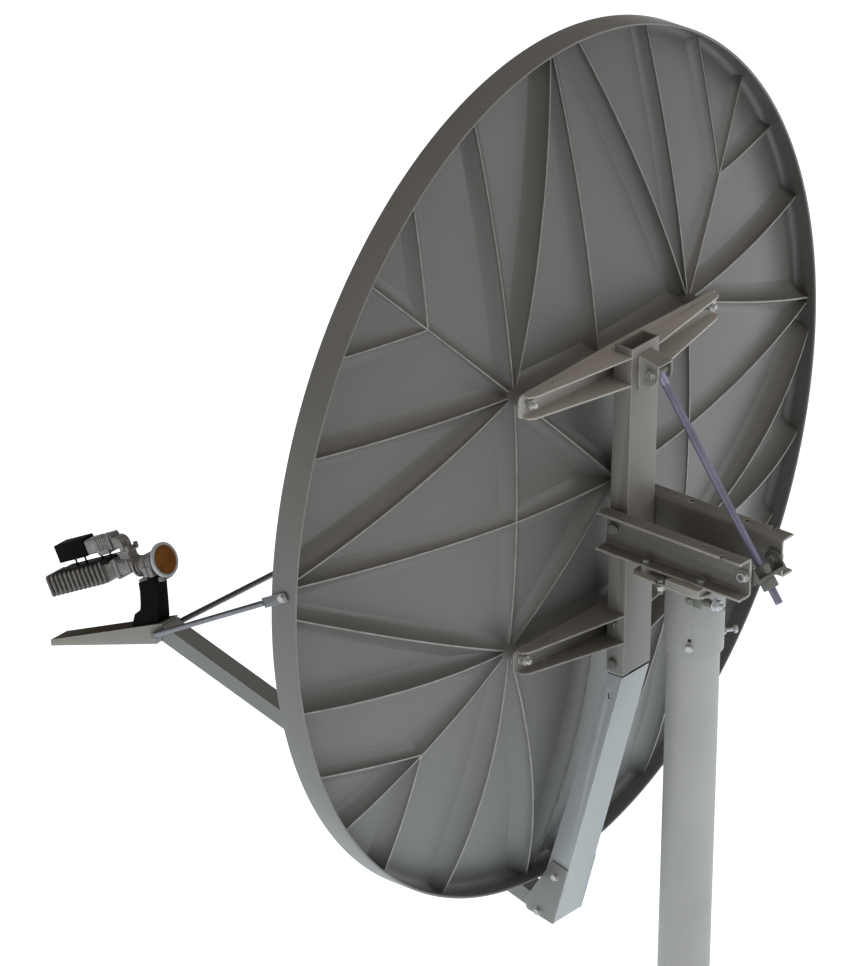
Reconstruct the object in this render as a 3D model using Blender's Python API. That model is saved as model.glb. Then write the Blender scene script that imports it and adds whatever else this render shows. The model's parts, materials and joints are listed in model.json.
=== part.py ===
"""Offset dish antenna on a pipe mast, modelled in metres, +Z up, dish facing -Y at rest.

The origin is the middle of the mast's foot. Left is the dish's own left hand, +X.
"""
import math

import bmesh
import bpy
from mathutils import Matrix, Vector

GAP = 0.0003
CENTRE_Z = 1.750

DISH_HALF_WIDTH = 0.9144
DISH_HALF_HEIGHT = 0.9914
RIM_FRONT_Y = -0.4255
RIM_DEPTH = 0.0651
RIM_WALL = 0.0035
SHELL_WALL = 0.004
DISH_SEGMENTS = 96
DISH_RINGS = 9
DISH_TILT = math.acos(DISH_HALF_WIDTH / DISH_HALF_HEIGHT)
FOCAL_LENGTH = 1.120

HUB_X = 0.304
UPPER_HUB_Z = CENTRE_Z + 0.308
LOWER_HUB_Z = CENTRE_Z - 0.2975
MIDDLE_Z = CENTRE_Z + 0.014
HUB_RADIUS = 0.014
HUB_BACK_Y = -0.2257
RIB_WALL = 0.004
RIB_STEPS = 10
UPPER_HUB_RIB = 0.026
LOWER_HUB_RIB = 0.013
MIDDLE_RIB = 0.032
SIDE_UPRIGHT_RIB = 0.018
LEVEL_RIB = 0.030
UPRIGHT_X = 0.0306
UPRIGHT_ANGLE = 88.1
UPRIGHT_HEIGHT = 0.023
SIDE_RIB = (2.8, 0.018, 0.023, 0.037)
UPPER_RIBS = (
    (87.3, 0.036, 0.032), (70.8, 0.024, 0.023), (43.1, 0.014, 0.018), (19.2, 0.029, 0.034), (3.5, 0.033, 0.040))
LOWER_RIBS = (
    (85.8, 0.034, 0.036), (66.7, 0.036, 0.034), (38.0, 0.027, 0.038), (15.0, 0.044, 0.046), (1.0, 0.048, 0.044))
FORKED_RIB = 2
FORK_SHARE = 0.56
UPPER_FORKS = ((57.0, 0.018), (31.5, 0.018))
LOWER_FORKS = ((51.4, 0.033), (26.5, 0.033))

MAST_RADIUS = 0.05715
MAST_WALL = 0.006
MAST_TOP_Z = CENTRE_Z - 0.152
COLLAR_RADIUS = 0.065
COLLAR_BORE = 0.0585
COLLAR_TOP_Z = CENTRE_Z - 0.1345
COLLAR_FOOT_Z = CENTRE_Z - 0.3155
COLLAR_LID = 0.012
PLATE_HALF_WIDTH = 0.112
PLATE_HALF_DEPTH = 0.098
PLATE_CORNER = 0.028
PLATE_BOLT_X = 0.080
PLATE_BOLT_Y = 0.073
SPACER_RADIUS = 0.012
SPACER_HEIGHT = 0.0145
ADJUSTER_X = 0.0795
ADJUSTER_LOW = Vector((0.0665, 0.062, -0.030))
ADJUSTER_HIGH = Vector((0.0925, 0.082, 0.0))
ADJUSTER_DROP = 0.016

CHANNEL_BACK_X = 0.0542
CHANNEL_FLANGE = 0.0407
CHANNEL_WALL = 0.0045
CHANNEL_BEND = 0.008
CHANNEL_TOP_Z = CENTRE_Z - 0.024
CHANNEL_FOOT_Z = CENTRE_Z - 0.1136
CHANNEL_FRONT_Y = -0.1987
CHANNEL_REAR_Y = 0.1851

TUBE_HALF_WIDTH = 0.0474
TUBE_BACK_Y = -0.1503
TUBE_DEPTH = 0.0466
TUBE_WALL = 0.004
TUBE_TOP_Z = CENTRE_Z + 0.357
TUBE_FOOT_Z = CENTRE_Z - 0.4212

PIVOT = Vector((0.0, -0.173, CENTRE_Z - 0.067))
PIVOT_RADIUS = 0.008
TRUNNION = Vector((0.0, 0.168, CENTRE_Z - 0.070))
CLEVIS = Vector((0.0, -0.115, CENTRE_Z + 0.303))
ROD_RADIUS = 0.0092
ROD_REACH = 0.558
SADDLE_HALF_DEPTH = 0.0215
SADDLE_HALF_WIDTH = 0.0485
SADDLE_WALL = 0.005
SADDLE_SEAT = 0.0225
SADDLE_FOOT = 0.0305
TRUNNION_STUB = 0.007
TRUNNION_SLACK = ROD_RADIUS + 0.0056
NUT_RADIUS = 0.0190
NUT_HEIGHT = 0.0225
NUT_SEATS = (("upper", SADDLE_SEAT - GAP - NUT_HEIGHT), ("lower", SADDLE_FOOT + GAP))
CLEVIS_HALF_WIDTH = 0.026
CLEVIS_WALL = 0.004
CLEVIS_RISE = 0.034
CLEVIS_DROP = 0.036
CLEVIS_FOOT = 0.048
CLEVIS_SLOPE = 0.012
CLEVIS_CORNER = 0.018

CROSS_WEB_FRONT_Y = -0.2254
CROSS_WALL = 0.004
CROSS_HALF_LENGTH = 0.345
CROSS_HALF_HEIGHT = 0.035
CROSS_END_HALF_HEIGHT = 0.027
CROSS_CORNER = 0.012
CROSS_UPPER_Z = CENTRE_Z + 0.305
CROSS_LOWER_Z = CENTRE_Z - 0.3095

STRUT_TILT = math.radians(14.2)
STRUT_LENGTH = 0.690
STRUT_TOP_DEPTH = 0.040
STRUT_FOOT_DEPTH = 0.057
STRUT_HALF_WIDTH = 0.0474
STRUT_WALL = 0.004

BOOM_RISE = math.radians(16.2)
BOOM_HALF_WIDTH = 0.0254
BOOM_HEIGHT = 0.0381
BOOM_WALL = 0.003
BOOM_TIP = Vector((0.0, -1.462, CENTRE_Z - 0.762))
BOOM_LENGTH = 1.145
FEED_ROD_RADIUS = 0.0065

FEED_RISE = math.radians(28.7)
FEED_FACE = Vector((0.0, -1.466, CENTRE_Z - 0.592))
WINDOW_RADIUS = 0.0325
WINDOW_DEPTH = 0.002
RING_RADIUS = 0.040
RING_DEPTH = 0.0095
FLARE_RADIUS = 0.031
THROAT_RADIUS = 0.0215
THROAT_START = 0.064
THROAT_END = 0.0825
DISC_RADIUS = 0.025
DISC_END = 0.0895
CASTING_END = 0.139
ELBOW_SEAT = 0.038
ELBOW_CENTRE = (-0.1205, 0.058)
ELBOW_RADIUS = 0.0217
ELBOW_HALF_WIDTH = 0.015
FINS_END = 0.352
FINS_RISE = 0.0107
RECEIVER_START = 0.2105
RECEIVER_END = 0.301
BRACKET_HALF_WIDTH = 0.020
TRAY_WALL = 0.003
TRAY_TIP = (-1.779, CENTRE_Z - 0.8885)
TRAY_REAR = (-1.4545, CENTRE_Z - 0.7390)

COLLECTION = bpy.data.collections.new("dish_antenna")


def clear_scene():
    for item in list(bpy.data.objects):
        bpy.data.objects.remove(item, do_unlink=True)
    bpy.context.scene.collection.children.link(COLLECTION)


def material(name, colour, roughness, metallic):
    made = bpy.data.materials.new(name)
    made.use_nodes = True
    shader = made.node_tree.nodes["Principled BSDF"]
    shader.inputs["Base Color"].default_value = (*colour, 1.0)
    shader.inputs["Roughness"].default_value = roughness
    shader.inputs["Metallic"].default_value = metallic
    made.diffuse_color = (*colour, 1.0)
    return made


def add(name, mesh, finish, smooth_angle=None):
    mesh.name = name
    mesh.materials.clear()
    mesh.materials.append(finish)
    item = bpy.data.objects.new(name, mesh)
    COLLECTION.objects.link(item)
    if smooth_angle is not None:
        mesh.shade_smooth()
        mesh.set_sharp_from_angle(angle=smooth_angle)
    return item


def mesh_of(shape):
    mesh = bpy.data.meshes.new("shape")
    shape.to_mesh(mesh)
    shape.free()
    return mesh


def box(low, high):
    """Mesh of an upright box between two corners."""
    low, high = Vector(low), Vector(high)
    shape = bmesh.new()
    bmesh.ops.create_cube(shape, size=1.0)
    size = high - low
    bmesh.ops.scale(shape, vec=size, verts=shape.verts)
    bmesh.ops.translate(shape, vec=(low + high) / 2, verts=shape.verts)
    return mesh_of(shape)


def rod(start, end, radius, sides=24):
    """Mesh of a round bar, or of a hexagon or other prism, from one point to another."""
    start, end = Vector(start), Vector(end)
    along = end - start
    shape = bmesh.new()
    bmesh.ops.create_cone(
        shape, cap_ends=True, segments=sides, radius1=radius, radius2=radius, depth=along.length)
    turn = along.to_track_quat("Z", "Y").to_matrix().to_4x4()
    shape.transform(Matrix.Translation((start + end) / 2) @ turn)
    return mesh_of(shape)


def flat(outline, thickness, frame, holes=()):
    """Mesh of a flat outline with thickness, centred on its plane and placed by a frame."""
    curve = bpy.data.curves.new("outline", "CURVE")
    curve.dimensions = "2D"
    curve.fill_mode = "BOTH"
    curve.extrude = thickness / 2
    for loop in (outline, *holes):
        spline = curve.splines.new("POLY")
        spline.points.add(len(loop) - 1)
        for point, (across, up) in zip(spline.points, loop):
            point.co = (across, up, 0.0, 1.0)
        spline.use_cyclic_u = True
    item = bpy.data.objects.new("outline", curve)
    COLLECTION.objects.link(item)
    graph = bpy.context.evaluated_depsgraph_get()
    mesh = bpy.data.meshes.new_from_object(item.evaluated_get(graph))
    bpy.data.objects.remove(item, do_unlink=True)
    shape = bmesh.new()
    shape.from_mesh(mesh)
    bmesh.ops.remove_doubles(shape, verts=shape.verts, dist=0.00001)
    bmesh.ops.recalc_face_normals(shape, faces=shape.faces)
    shape.transform(frame)
    bpy.data.meshes.remove(mesh)
    return mesh_of(shape)


def joined(meshes, operation="UNION"):
    """One mesh from several by Boolean: the first is cut by, or fused with, the others."""
    first = bpy.data.objects.new("first", meshes[0])
    COLLECTION.objects.link(first)
    others = []
    for mesh in meshes[1:]:
        other = bpy.data.objects.new("other", mesh)
        COLLECTION.objects.link(other)
        others.append(other)
        step = first.modifiers.new("join", "BOOLEAN")
        step.operation = operation
        step.solver = "EXACT"
        step.object = other
    graph = bpy.context.evaluated_depsgraph_get()
    result = bpy.data.meshes.new_from_object(first.evaluated_get(graph))
    for item in (first, *others):
        bpy.data.objects.remove(item, do_unlink=True)
    return result


def cut(mesh, *cutters):
    return joined([mesh, *cutters], "DIFFERENCE")


def side_frame(x, origin=(0.0, 0.0), tilt=0.0):
    """Frame of a plate that faces X: its outline's first value runs along +Y, its second up."""
    turn = Matrix(((0, 0, 1), (1, 0, 0), (0, 1, 0))).to_4x4()
    place = Matrix.Translation((x, origin[0], origin[1]))
    return place @ Matrix.Rotation(tilt, 4, "X") @ turn


def arc(centre, radius, start, end, steps):
    """Points of an arc, with its angles in degrees."""
    points = []
    for step in range(steps + 1):
        angle = math.radians(start + (end - start) * step / steps)
        points.append((centre[0] + radius * math.cos(angle), centre[1] + radius * math.sin(angle)))
    return points


def mirrored(mesh):
    """The same mesh on the other side of the plane x = 0."""
    shape = bmesh.new()
    shape.from_mesh(mesh)
    shape.transform(Matrix.Scale(-1, 4, (1, 0, 0)))
    bmesh.ops.reverse_faces(shape, faces=shape.faces)
    return mesh_of(shape)


def dish_y(x, z):
    """Front surface of the reflector: a paraboloid whose axis rises by the dish's tilt."""
    sine, cosine = math.sin(DISH_TILT), math.cos(DISH_TILT)
    offset = 2 * FOCAL_LENGTH * sine / cosine
    out = offset + (z - CENTRE_Z) * cosine
    along = (offset ** 2 + DISH_HALF_WIDTH ** 2) / (4 * FOCAL_LENGTH) + (z - CENTRE_Z) * sine
    a = sine ** 2
    b = 2 * sine * out + 4 * FOCAL_LENGTH * cosine
    c = x * x + out ** 2 - 4 * FOCAL_LENGTH * along
    return RIM_FRONT_Y + (math.sqrt(b * b - 4 * a * c) - b) / (2 * a)


def rim_point(angle, inset=0.0):
    """Point on the rim's outline, in degrees from +X towards +Z, moved inwards by inset."""
    turn = math.radians(angle)
    x = (DISH_HALF_WIDTH - inset) * math.cos(turn)
    z = CENTRE_Z + (DISH_HALF_HEIGHT - inset) * math.sin(turn)
    return Vector((x, z))


def reflector_shell(finish):
    """The bowl: a flat disc of unit radius is spun first, then laid on the paraboloid."""
    shares = [ring / DISH_RINGS for ring in range(DISH_RINGS + 1)]
    profile = [(share, 0.0) for share in shares] + [(share, SHELL_WALL) for share in reversed(shares)]
    shape = bmesh.new()
    line = [shape.verts.new((share, 0.0, depth)) for share, depth in profile]
    edges = [shape.edges.new(pair) for pair in zip(line, line[1:])]
    bmesh.ops.spin(shape, geom=line + edges, cent=(0, 0, 0), axis=(0, 0, 1), angle=2 * math.pi,
                   steps=DISH_SEGMENTS, use_merge=True)
    bmesh.ops.remove_doubles(shape, verts=shape.verts, dist=0.0001)
    bmesh.ops.recalc_face_normals(shape, faces=shape.faces)
    for vert in shape.verts:
        x = vert.co.x * (DISH_HALF_WIDTH - RIM_WALL - GAP)
        z = CENTRE_Z + vert.co.y * (DISH_HALF_HEIGHT - RIM_WALL - GAP)
        vert.co = (x, dish_y(x, z) + vert.co.z, z)
    bmesh.ops.reverse_faces(shape, faces=shape.faces)
    add("reflector_shell", mesh_of(shape), finish, math.radians(30))


def reflector_rim(finish):
    outline = []
    inside = []
    for step in range(DISH_SEGMENTS):
        angle = 360.0 * step / DISH_SEGMENTS
        outline.append(tuple(rim_point(angle)))
        inside.append(tuple(rim_point(angle, RIM_WALL)))
    middle = RIM_FRONT_Y + RIM_DEPTH / 2
    turn = Matrix.Translation((0.0, middle, 0.0)) @ Matrix.Rotation(math.pi / 2, 4, "X")
    add("reflector_rim", flat(outline, RIM_DEPTH, turn, [inside]), finish, math.radians(30))


def rib_height(heights, share):
    """Height along a rib, by the curve through its start, middle and end."""
    start, middle, end = heights
    return start + share * (4 * middle - 3 * start - end) + share ** 2 * 2 * (start + end - 2 * middle)


def blade(start, end, heights):
    """Mesh of one rib: a plate square to the rim's plane that follows the shell's back."""
    start, end = Vector(start), Vector(end)
    along = (end - start).normalized()
    across = Vector((-along.y, along.x)) * (RIB_WALL / 2)
    length = (end - start).length
    backs = []
    fronts = []
    for step in range(RIB_STEPS + 1):
        share = step / RIB_STEPS
        spot = start + (end - start) * share
        faces = [dish_y(*(spot + side)) for side in (-across, across)]
        front = max(faces) + SHELL_WALL + GAP
        fronts.append((share * length, front))
        backs.append((share * length, front + rib_height(heights, share)))
    outline = fronts + backs[::-1]
    frame = Matrix((
        (along.x, 0.0, -along.y, start.x),
        (0.0, 1.0, 0.0, 0.0),
        (along.y, 0.0, along.x, start.y),
        (0.0, 0.0, 0.0, 1.0)))
    return flat(outline, RIB_WALL, frame)


def rim_end(start, angle):
    """Where a rib from a start point stops short of the rim's inner wall."""
    target = rim_point(angle)
    start = Vector(start)
    along = (target - start).normalized()
    across = Vector((-along.y, along.x)) * (RIB_WALL / 2)
    width = DISH_HALF_WIDTH - RIM_WALL - 0.0009
    height = DISH_HALF_HEIGHT - RIM_WALL - 0.0009
    reach = (target - start).length
    while True:
        corners = [start + along * reach + side for side in (-across, across)]
        if all((c.x / width) ** 2 + ((c.y - CENTRE_Z) / height) ** 2 < 1.0 for c in corners):
            return start + along * reach
        reach -= 0.0002


def hub_ribs(hub_z, up, hub_height, ribs, forks):
    """The ribs that fan out from the hub on the +X side, above or below the middle."""
    hub = Vector((HUB_X, hub_z))
    seat = dish_y(*hub) + SHELL_WALL + 0.008
    pieces = [rod((hub.x, seat, hub.y), (hub.x, HUB_BACK_Y, hub.y), HUB_RADIUS, 16)]
    for angle, middle, end in ribs:
        pieces.append(blade(hub, rim_end(hub, up * angle), (hub_height, middle, end)))
    angle, middle, end = ribs[FORKED_RIB]
    trunk = rim_end(hub, up * angle)
    fork = hub + (trunk - hub) * FORK_SHARE
    start = rib_height((hub_height, middle, end), FORK_SHARE) - 0.001
    for angle, end in forks:
        pieces.append(blade(fork, rim_end(fork, up * angle), (start, (start + end) / 2, end)))
    return joined(pieces)


def centre_ribs():
    """The ribs between the four hubs, and the level one that runs from rim to rim."""
    middle = Vector((0.0, MIDDLE_Z))
    reach = HUB_RADIUS + 0.0005
    pieces = []
    for side in (-1, 1):
        for hub_z, height in ((LOWER_HUB_Z, LOWER_HUB_RIB), (UPPER_HUB_Z, UPPER_HUB_RIB)):
            hub = Vector((side * HUB_X, hub_z))
            start = hub + (middle - hub).normalized() * reach
            pieces.append(blade(start, middle, (height, (height + MIDDLE_RIB) / 2, MIDDLE_RIB)))
        low = Vector((side * HUB_X, LOWER_HUB_Z + reach))
        high = Vector((side * HUB_X, UPPER_HUB_Z - reach))
        pieces.append(blade(low, high, (LOWER_HUB_RIB, SIDE_UPRIGHT_RIB, UPPER_HUB_RIB)))
        cross = Vector((side * HUB_X, MIDDLE_Z))
        angle, start, outer, end = SIDE_RIB
        pieces.append(blade(middle, cross, (MIDDLE_RIB - 0.0004, (MIDDLE_RIB + start) / 2, start)))
        rim = rim_end(cross, angle if side > 0 else 180.0 - angle)
        pieces.append(blade(cross, rim, (start + 0.0004, outer, end)))
    return joined(pieces)


def cross_ribs(hub_z, up, hub_height):
    """The rib between two hubs at one height, with the one from near its middle to the rim."""
    reach = HUB_X - HUB_RADIUS - 0.0005
    start = Vector((UPRIGHT_X, hub_z))
    level = blade((-reach, hub_z), (reach, hub_z), (hub_height, LEVEL_RIB, hub_height))
    upright = blade(start, rim_end(start, up * UPRIGHT_ANGLE), (UPRIGHT_HEIGHT,) * 3)
    return joined([level, upright])


def reflector(finish):
    reflector_shell(finish)
    reflector_rim(finish)
    upper = ("upper", UPPER_HUB_Z, 1, UPPER_HUB_RIB, UPPER_RIBS, UPPER_FORKS)
    lower = ("lower", LOWER_HUB_Z, -1, LOWER_HUB_RIB, LOWER_RIBS, LOWER_FORKS)
    for word, hub_z, up, height, ribs, forks in (upper, lower):
        fan = hub_ribs(hub_z, up, height, ribs, forks)
        add(f"ribs_{word}_right", mirrored(fan), finish)
        add(f"ribs_{word}_left", fan, finish)
        add(f"ribs_{word}_middle", cross_ribs(hub_z, up, height), finish)
    add("ribs_centre", centre_ribs(), finish)


def cross_channel(name, tube_z, end_z, finish):
    """A channel across the dish's back: its web on two hubs, its flanges deepest at the tube."""
    tube_x = TUBE_HALF_WIDTH + GAP
    end_x = CROSS_HALF_LENGTH - CROSS_CORNER
    tall, low = CROSS_HALF_HEIGHT, CROSS_END_HALF_HEIGHT - CROSS_CORNER
    web = [(-tube_x, tube_z - tall), (tube_x, tube_z - tall)]
    web += arc((end_x, end_z - low), CROSS_CORNER, 275, 360, 4)
    web += arc((end_x, end_z + low), CROSS_CORNER, 0, 85, 4)
    web += [(tube_x, tube_z + tall), (-tube_x, tube_z + tall)]
    web += arc((-end_x, end_z + low), CROSS_CORNER, 95, 180, 4)
    web += arc((-end_x, end_z - low), CROSS_CORNER, 180, 265, 4)
    front = CROSS_WEB_FRONT_Y + CROSS_WALL / 2
    turn = Matrix.Translation((0.0, front, 0.0)) @ Matrix.Rotation(math.pi / 2, 4, "X")
    pieces = [flat(web, CROSS_WALL, turn)]
    tube_front = TUBE_BACK_Y - TUBE_DEPTH - GAP
    for up in (-1, 1):
        inset = up * (CROSS_WALL / 2 + 0.0002)
        level = tube_z + up * tall - inset
        pieces.append(box((-tube_x - 0.004, front, level - CROSS_WALL / 2),
                          (tube_x + 0.004, tube_front, level + CROSS_WALL / 2)))
        start = Vector((tube_x, 0.0, level))
        end = Vector((end_x, 0.0, end_z + up * CROSS_END_HALF_HEIGHT - inset))
        along = (end - start).normalized()
        square = along.cross(Vector((0.0, 1.0, 0.0)))
        reach = (end - start).length
        outline = [(0.0, front), (reach, front), (reach, front + 0.016), (reach - 0.006, front + 0.022),
                   (reach - 0.016, front + 0.027), (0.0, TUBE_BACK_Y)]
        frame = Matrix((
            (along.x, 0.0, square.x, start.x),
            (along.y, 1.0, square.y, start.y),
            (along.z, 0.0, square.z, start.z),
            (0.0, 0.0, 0.0, 1.0)))
        plate = flat(outline, CROSS_WALL, frame)
        pieces += [plate, mirrored(plate)]
    add(name, joined(pieces), finish)


def back_tube(finish):
    low = (-TUBE_HALF_WIDTH, TUBE_BACK_Y - TUBE_DEPTH, TUBE_FOOT_Z)
    high = (TUBE_HALF_WIDTH, TUBE_BACK_Y, TUBE_TOP_Z)
    inner_low = (low[0] + TUBE_WALL, low[1] + TUBE_WALL, TUBE_FOOT_Z - 0.01)
    inner_high = (high[0] - TUBE_WALL, high[1] - TUBE_WALL, TUBE_TOP_Z + 0.01)
    hole = rod(PIVOT - Vector((0.1, 0, 0)), PIVOT + Vector((0.1, 0, 0)), PIVOT_RADIUS + 0.0005, 24)
    add("back_tube", cut(box(low, high), box(inner_low, inner_high), hole), finish)


def rod_clevis(finish):
    """The bracket on the tube's back that holds the elevation rod's upper end, its lid sloping back."""
    base_y = TUBE_BACK_Y + GAP
    back_y = CLEVIS.y + CLEVIS_CORNER
    low, high = CLEVIS.z - CLEVIS_DROP, CLEVIS.z + CLEVIS_RISE
    side, wall = CLEVIS_HALF_WIDTH, CLEVIS_WALL
    pieces = [box((-side, base_y, CLEVIS.z - CLEVIS_FOOT), (side, base_y + wall, high))]
    rear_top = high - CLEVIS_SLOPE
    ear = [(base_y + 0.001, low), (CLEVIS.y, low + 0.006)]
    ear += arc((CLEVIS.y, CLEVIS.z - 0.006), CLEVIS_CORNER, -60, 0, 4)
    ear += [(back_y, rear_top), (base_y + 0.001, high - 0.0004)]
    for way in (-1, 1):
        pieces.append(flat(ear, wall, side_frame(way * (side - wall / 2 - 0.0002))))
    lid_rear = back_y - 0.0004
    lid = [(base_y + 0.001, high - wall), (lid_rear, rear_top - wall), (lid_rear, rear_top - 0.0008),
           (base_y + 0.001, high - 0.0012)]
    pieces.append(flat(lid, 2 * (side - 0.0006), side_frame(0.0)))
    body = joined(pieces)
    pin = rod(CLEVIS - Vector((0.05, 0, 0)), CLEVIS + Vector((0.05, 0, 0)), 0.0063, 20)
    add("rod_clevis", cut(body, pin), finish)
    shank = rod(CLEVIS - Vector((0.036, 0, 0)), CLEVIS + Vector((0.031, 0, 0)), 0.006, 20)
    head = rod(CLEVIS + Vector((side + GAP, 0, 0)), CLEVIS + Vector((side + 0.009, 0, 0)), 0.010, 6)
    nut = rod(CLEVIS - Vector((side + GAP, 0, 0)), CLEVIS - Vector((side + 0.010, 0, 0)), 0.010, 6)
    return shank, head, nut


def elevation_rod(finish, pin_finish, clevis_parts):
    along = (TRUNNION - CLEVIS).normalized()
    eye = rod(CLEVIS - Vector((0.0195, 0, 0)), CLEVIS + Vector((0.0195, 0, 0)), 0.013, 24)
    bar = rod(CLEVIS + along * 0.004, CLEVIS + along * ROD_REACH, ROD_RADIUS, 24)
    hole = rod(CLEVIS - Vector((0.05, 0, 0)), CLEVIS + Vector((0.05, 0, 0)), 0.0065, 20)
    add("elevation_rod", cut(joined([eye, bar]), hole), finish, math.radians(35))
    add("clevis_bolt", joined(list(clevis_parts)), pin_finish)


def trunnion(finish, nut_finish):
    """The pivoting saddle between the yoke's channels, with the nuts that hold the rod on its web."""
    along = (TRUNNION - CLEVIS).normalized()
    lean = math.atan2(along.y, -along.z)
    web = CHANNEL_BACK_X + CHANNEL_WALL
    depth, half = SADDLE_HALF_DEPTH, SADDLE_HALF_WIDTH

    def frame(x):
        return side_frame(x, (TRUNNION.y, TRUNNION.z), lean)

    arm = arc((0.0, 0.0), depth, 0, 180, 10) + [(-depth, -SADDLE_FOOT), (depth, -SADDLE_FOOT)]
    across, foot = depth - GAP, GAP - SADDLE_FOOT
    floor = [(across, foot), (across, -SADDLE_SEAT), (-across, -SADDLE_SEAT), (-across, foot)]
    pieces = [flat(floor, 2 * half - SADDLE_WALL, frame(0.0))]
    for side in (-1, 1):
        pieces.append(flat(arm, SADDLE_WALL, frame(side * (half - SADDLE_WALL / 2))))
        way = Vector((side, 0, 0))
        pieces.append(rod(TRUNNION + way * (half - 0.015), TRUNNION + way * (web + 0.012), TRUNNION_STUB, 20))
        pieces.append(rod(TRUNNION + way * (half - 0.014), TRUNNION + way * (half - 0.003), 0.0115, 6))
        pieces.append(rod(TRUNNION + way * (web + 0.001), TRUNNION + way * (web + 0.010), 0.0125, 6))
    bore = rod(TRUNNION, TRUNNION + along * 0.06, TRUNNION_SLACK, 24)
    add("trunnion_block", cut(joined(pieces), bore), finish)
    for word, start in NUT_SEATS:
        seat = TRUNNION + along * start
        nut = rod(seat, seat + along * NUT_HEIGHT, NUT_RADIUS, 6)
        bore = rod(seat - along * 0.01, seat + along * 0.03, TRUNNION_SLACK, 24)
        add(f"trunnion_nut_{word}", cut(nut, bore), nut_finish)


def yoke_channel(side, finish):
    """A channel beside the tube, its flanges pointing outwards, carried by the azimuth plate."""
    web, wall, bend = CHANNEL_BACK_X, CHANNEL_WALL, CHANNEL_BEND
    edge = web + CHANNEL_FLANGE
    top, foot = CHANNEL_TOP_Z, CHANNEL_FOOT_Z
    outline = [(edge, foot), (edge, foot + wall)]
    outline += arc((web + bend, foot + bend), bend - wall, 270, 180, 4)
    outline += arc((web + bend, top - bend), bend - wall, 180, 90, 4)
    outline += [(edge, top - wall), (edge, top)]
    outline += arc((web + bend, top - bend), bend, 90, 180, 4)
    outline += arc((web + bend, foot + bend), bend, 180, 270, 4)
    middle = (CHANNEL_FRONT_Y + CHANNEL_REAR_Y) / 2
    turn = Matrix.Translation((0.0, middle, 0.0)) @ Matrix.Rotation(math.pi / 2, 4, "X")
    body = flat(outline, CHANNEL_REAR_Y - CHANNEL_FRONT_Y, turn)
    pivot_hole = rod(PIVOT, PIVOT + Vector((0.12, 0, 0)), PIVOT_RADIUS + GAP, 24)
    rear_hole = rod(TRUNNION, TRUNNION + Vector((0.12, 0, 0)), 0.0078, 20)
    body = cut(body, pivot_hole, rear_hole)
    name = "yoke_channel_left" if side > 0 else "yoke_channel_right"
    add(name, body if side > 0 else mirrored(body), finish)


def pivot_bolt(finish):
    """The bolt that the dish tilts on, through both channels and the tube, with its spacers."""
    web = CHANNEL_BACK_X + CHANNEL_WALL
    pieces = [rod(PIVOT - Vector((web + 0.016, 0, 0)), PIVOT + Vector((web + 0.010, 0, 0)), PIVOT_RADIUS, 24)]
    for side in (-1, 1):
        reach = Vector((side, 0, 0))
        pieces.append(rod(PIVOT + reach * (web + GAP), PIVOT + reach * (web + 0.003), 0.0155, 24))
        pieces.append(rod(PIVOT + reach * (web + 0.0028), PIVOT + reach * (web + 0.0125), 0.0135, 6))
        pieces.append(rod(PIVOT + reach * (TUBE_HALF_WIDTH + 0.0008),
                          PIVOT + reach * (CHANNEL_BACK_X - GAP), 0.014, 24))
    add("pivot_bolt", joined(pieces), finish)


def azimuth_head(finish, collar_finish, bolt_finish):
    """The cap that turns on the mast, its plate, and the screw that trims the azimuth."""
    outer = rod((0, 0, COLLAR_FOOT_Z), (0, 0, COLLAR_TOP_Z), COLLAR_RADIUS, 48)
    inner = rod((0, 0, COLLAR_FOOT_Z - 0.01), (0, 0, COLLAR_TOP_Z - COLLAR_LID), COLLAR_BORE, 48)
    add("azimuth_collar", cut(outer, inner), collar_finish, math.radians(30))
    plate_top = CHANNEL_FOOT_Z - SPACER_HEIGHT
    low = COLLAR_TOP_Z + GAP
    across, ahead = PLATE_HALF_WIDTH - PLATE_CORNER, PLATE_HALF_DEPTH - PLATE_CORNER
    outline = []
    for turn, x, y in ((0, across, ahead), (90, -across, ahead), (180, -across, -ahead), (270, across, -ahead)):
        outline += arc((x, y), PLATE_CORNER, turn, turn + 90, 6)
    level = (low + plate_top) / 2
    pieces = [flat(outline, plate_top - low, Matrix.Translation((0, 0, level)))]
    for x in (-PLATE_BOLT_X, PLATE_BOLT_X):
        for y in (-PLATE_BOLT_Y, PLATE_BOLT_Y):
            pieces.append(rod((x, y, plate_top - 0.003), (x, y, CHANNEL_FOOT_Z - GAP), SPACER_RADIUS, 20))
    add("azimuth_plate", joined(pieces), finish)
    top = Vector((0.0, 0.0, low - GAP - GAP))
    block = box(top + ADJUSTER_LOW, top + ADJUSTER_HIGH)
    pieces = [block]
    for start, end, radius, sides in (
            (0.048, 0.135, 0.005, 16), (0.090, 0.101, 0.010, 6), (0.081, 0.092, 0.0075, 16)):
        level = top.z - ADJUSTER_DROP
        pieces.append(rod((ADJUSTER_X, start, level), (ADJUSTER_X, end, level), radius, sides))
    add("azimuth_adjuster", joined(pieces), bolt_finish)


def mast(finish):
    outer = rod((0, 0, 0), (0, 0, MAST_TOP_Z + 0.0052), MAST_RADIUS, 48)
    inner = rod((0, 0, MAST_WALL), (0, 0, MAST_TOP_Z + 0.05), MAST_RADIUS - MAST_WALL, 48)
    add("mast_pipe", cut(outer, inner), finish, math.radians(30))


def strut_frame(x):
    """Frame at the tube's foot whose second axis runs down the boom strut's back."""
    return side_frame(x, (TUBE_BACK_Y, TUBE_FOOT_Z), -STRUT_TILT)


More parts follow.
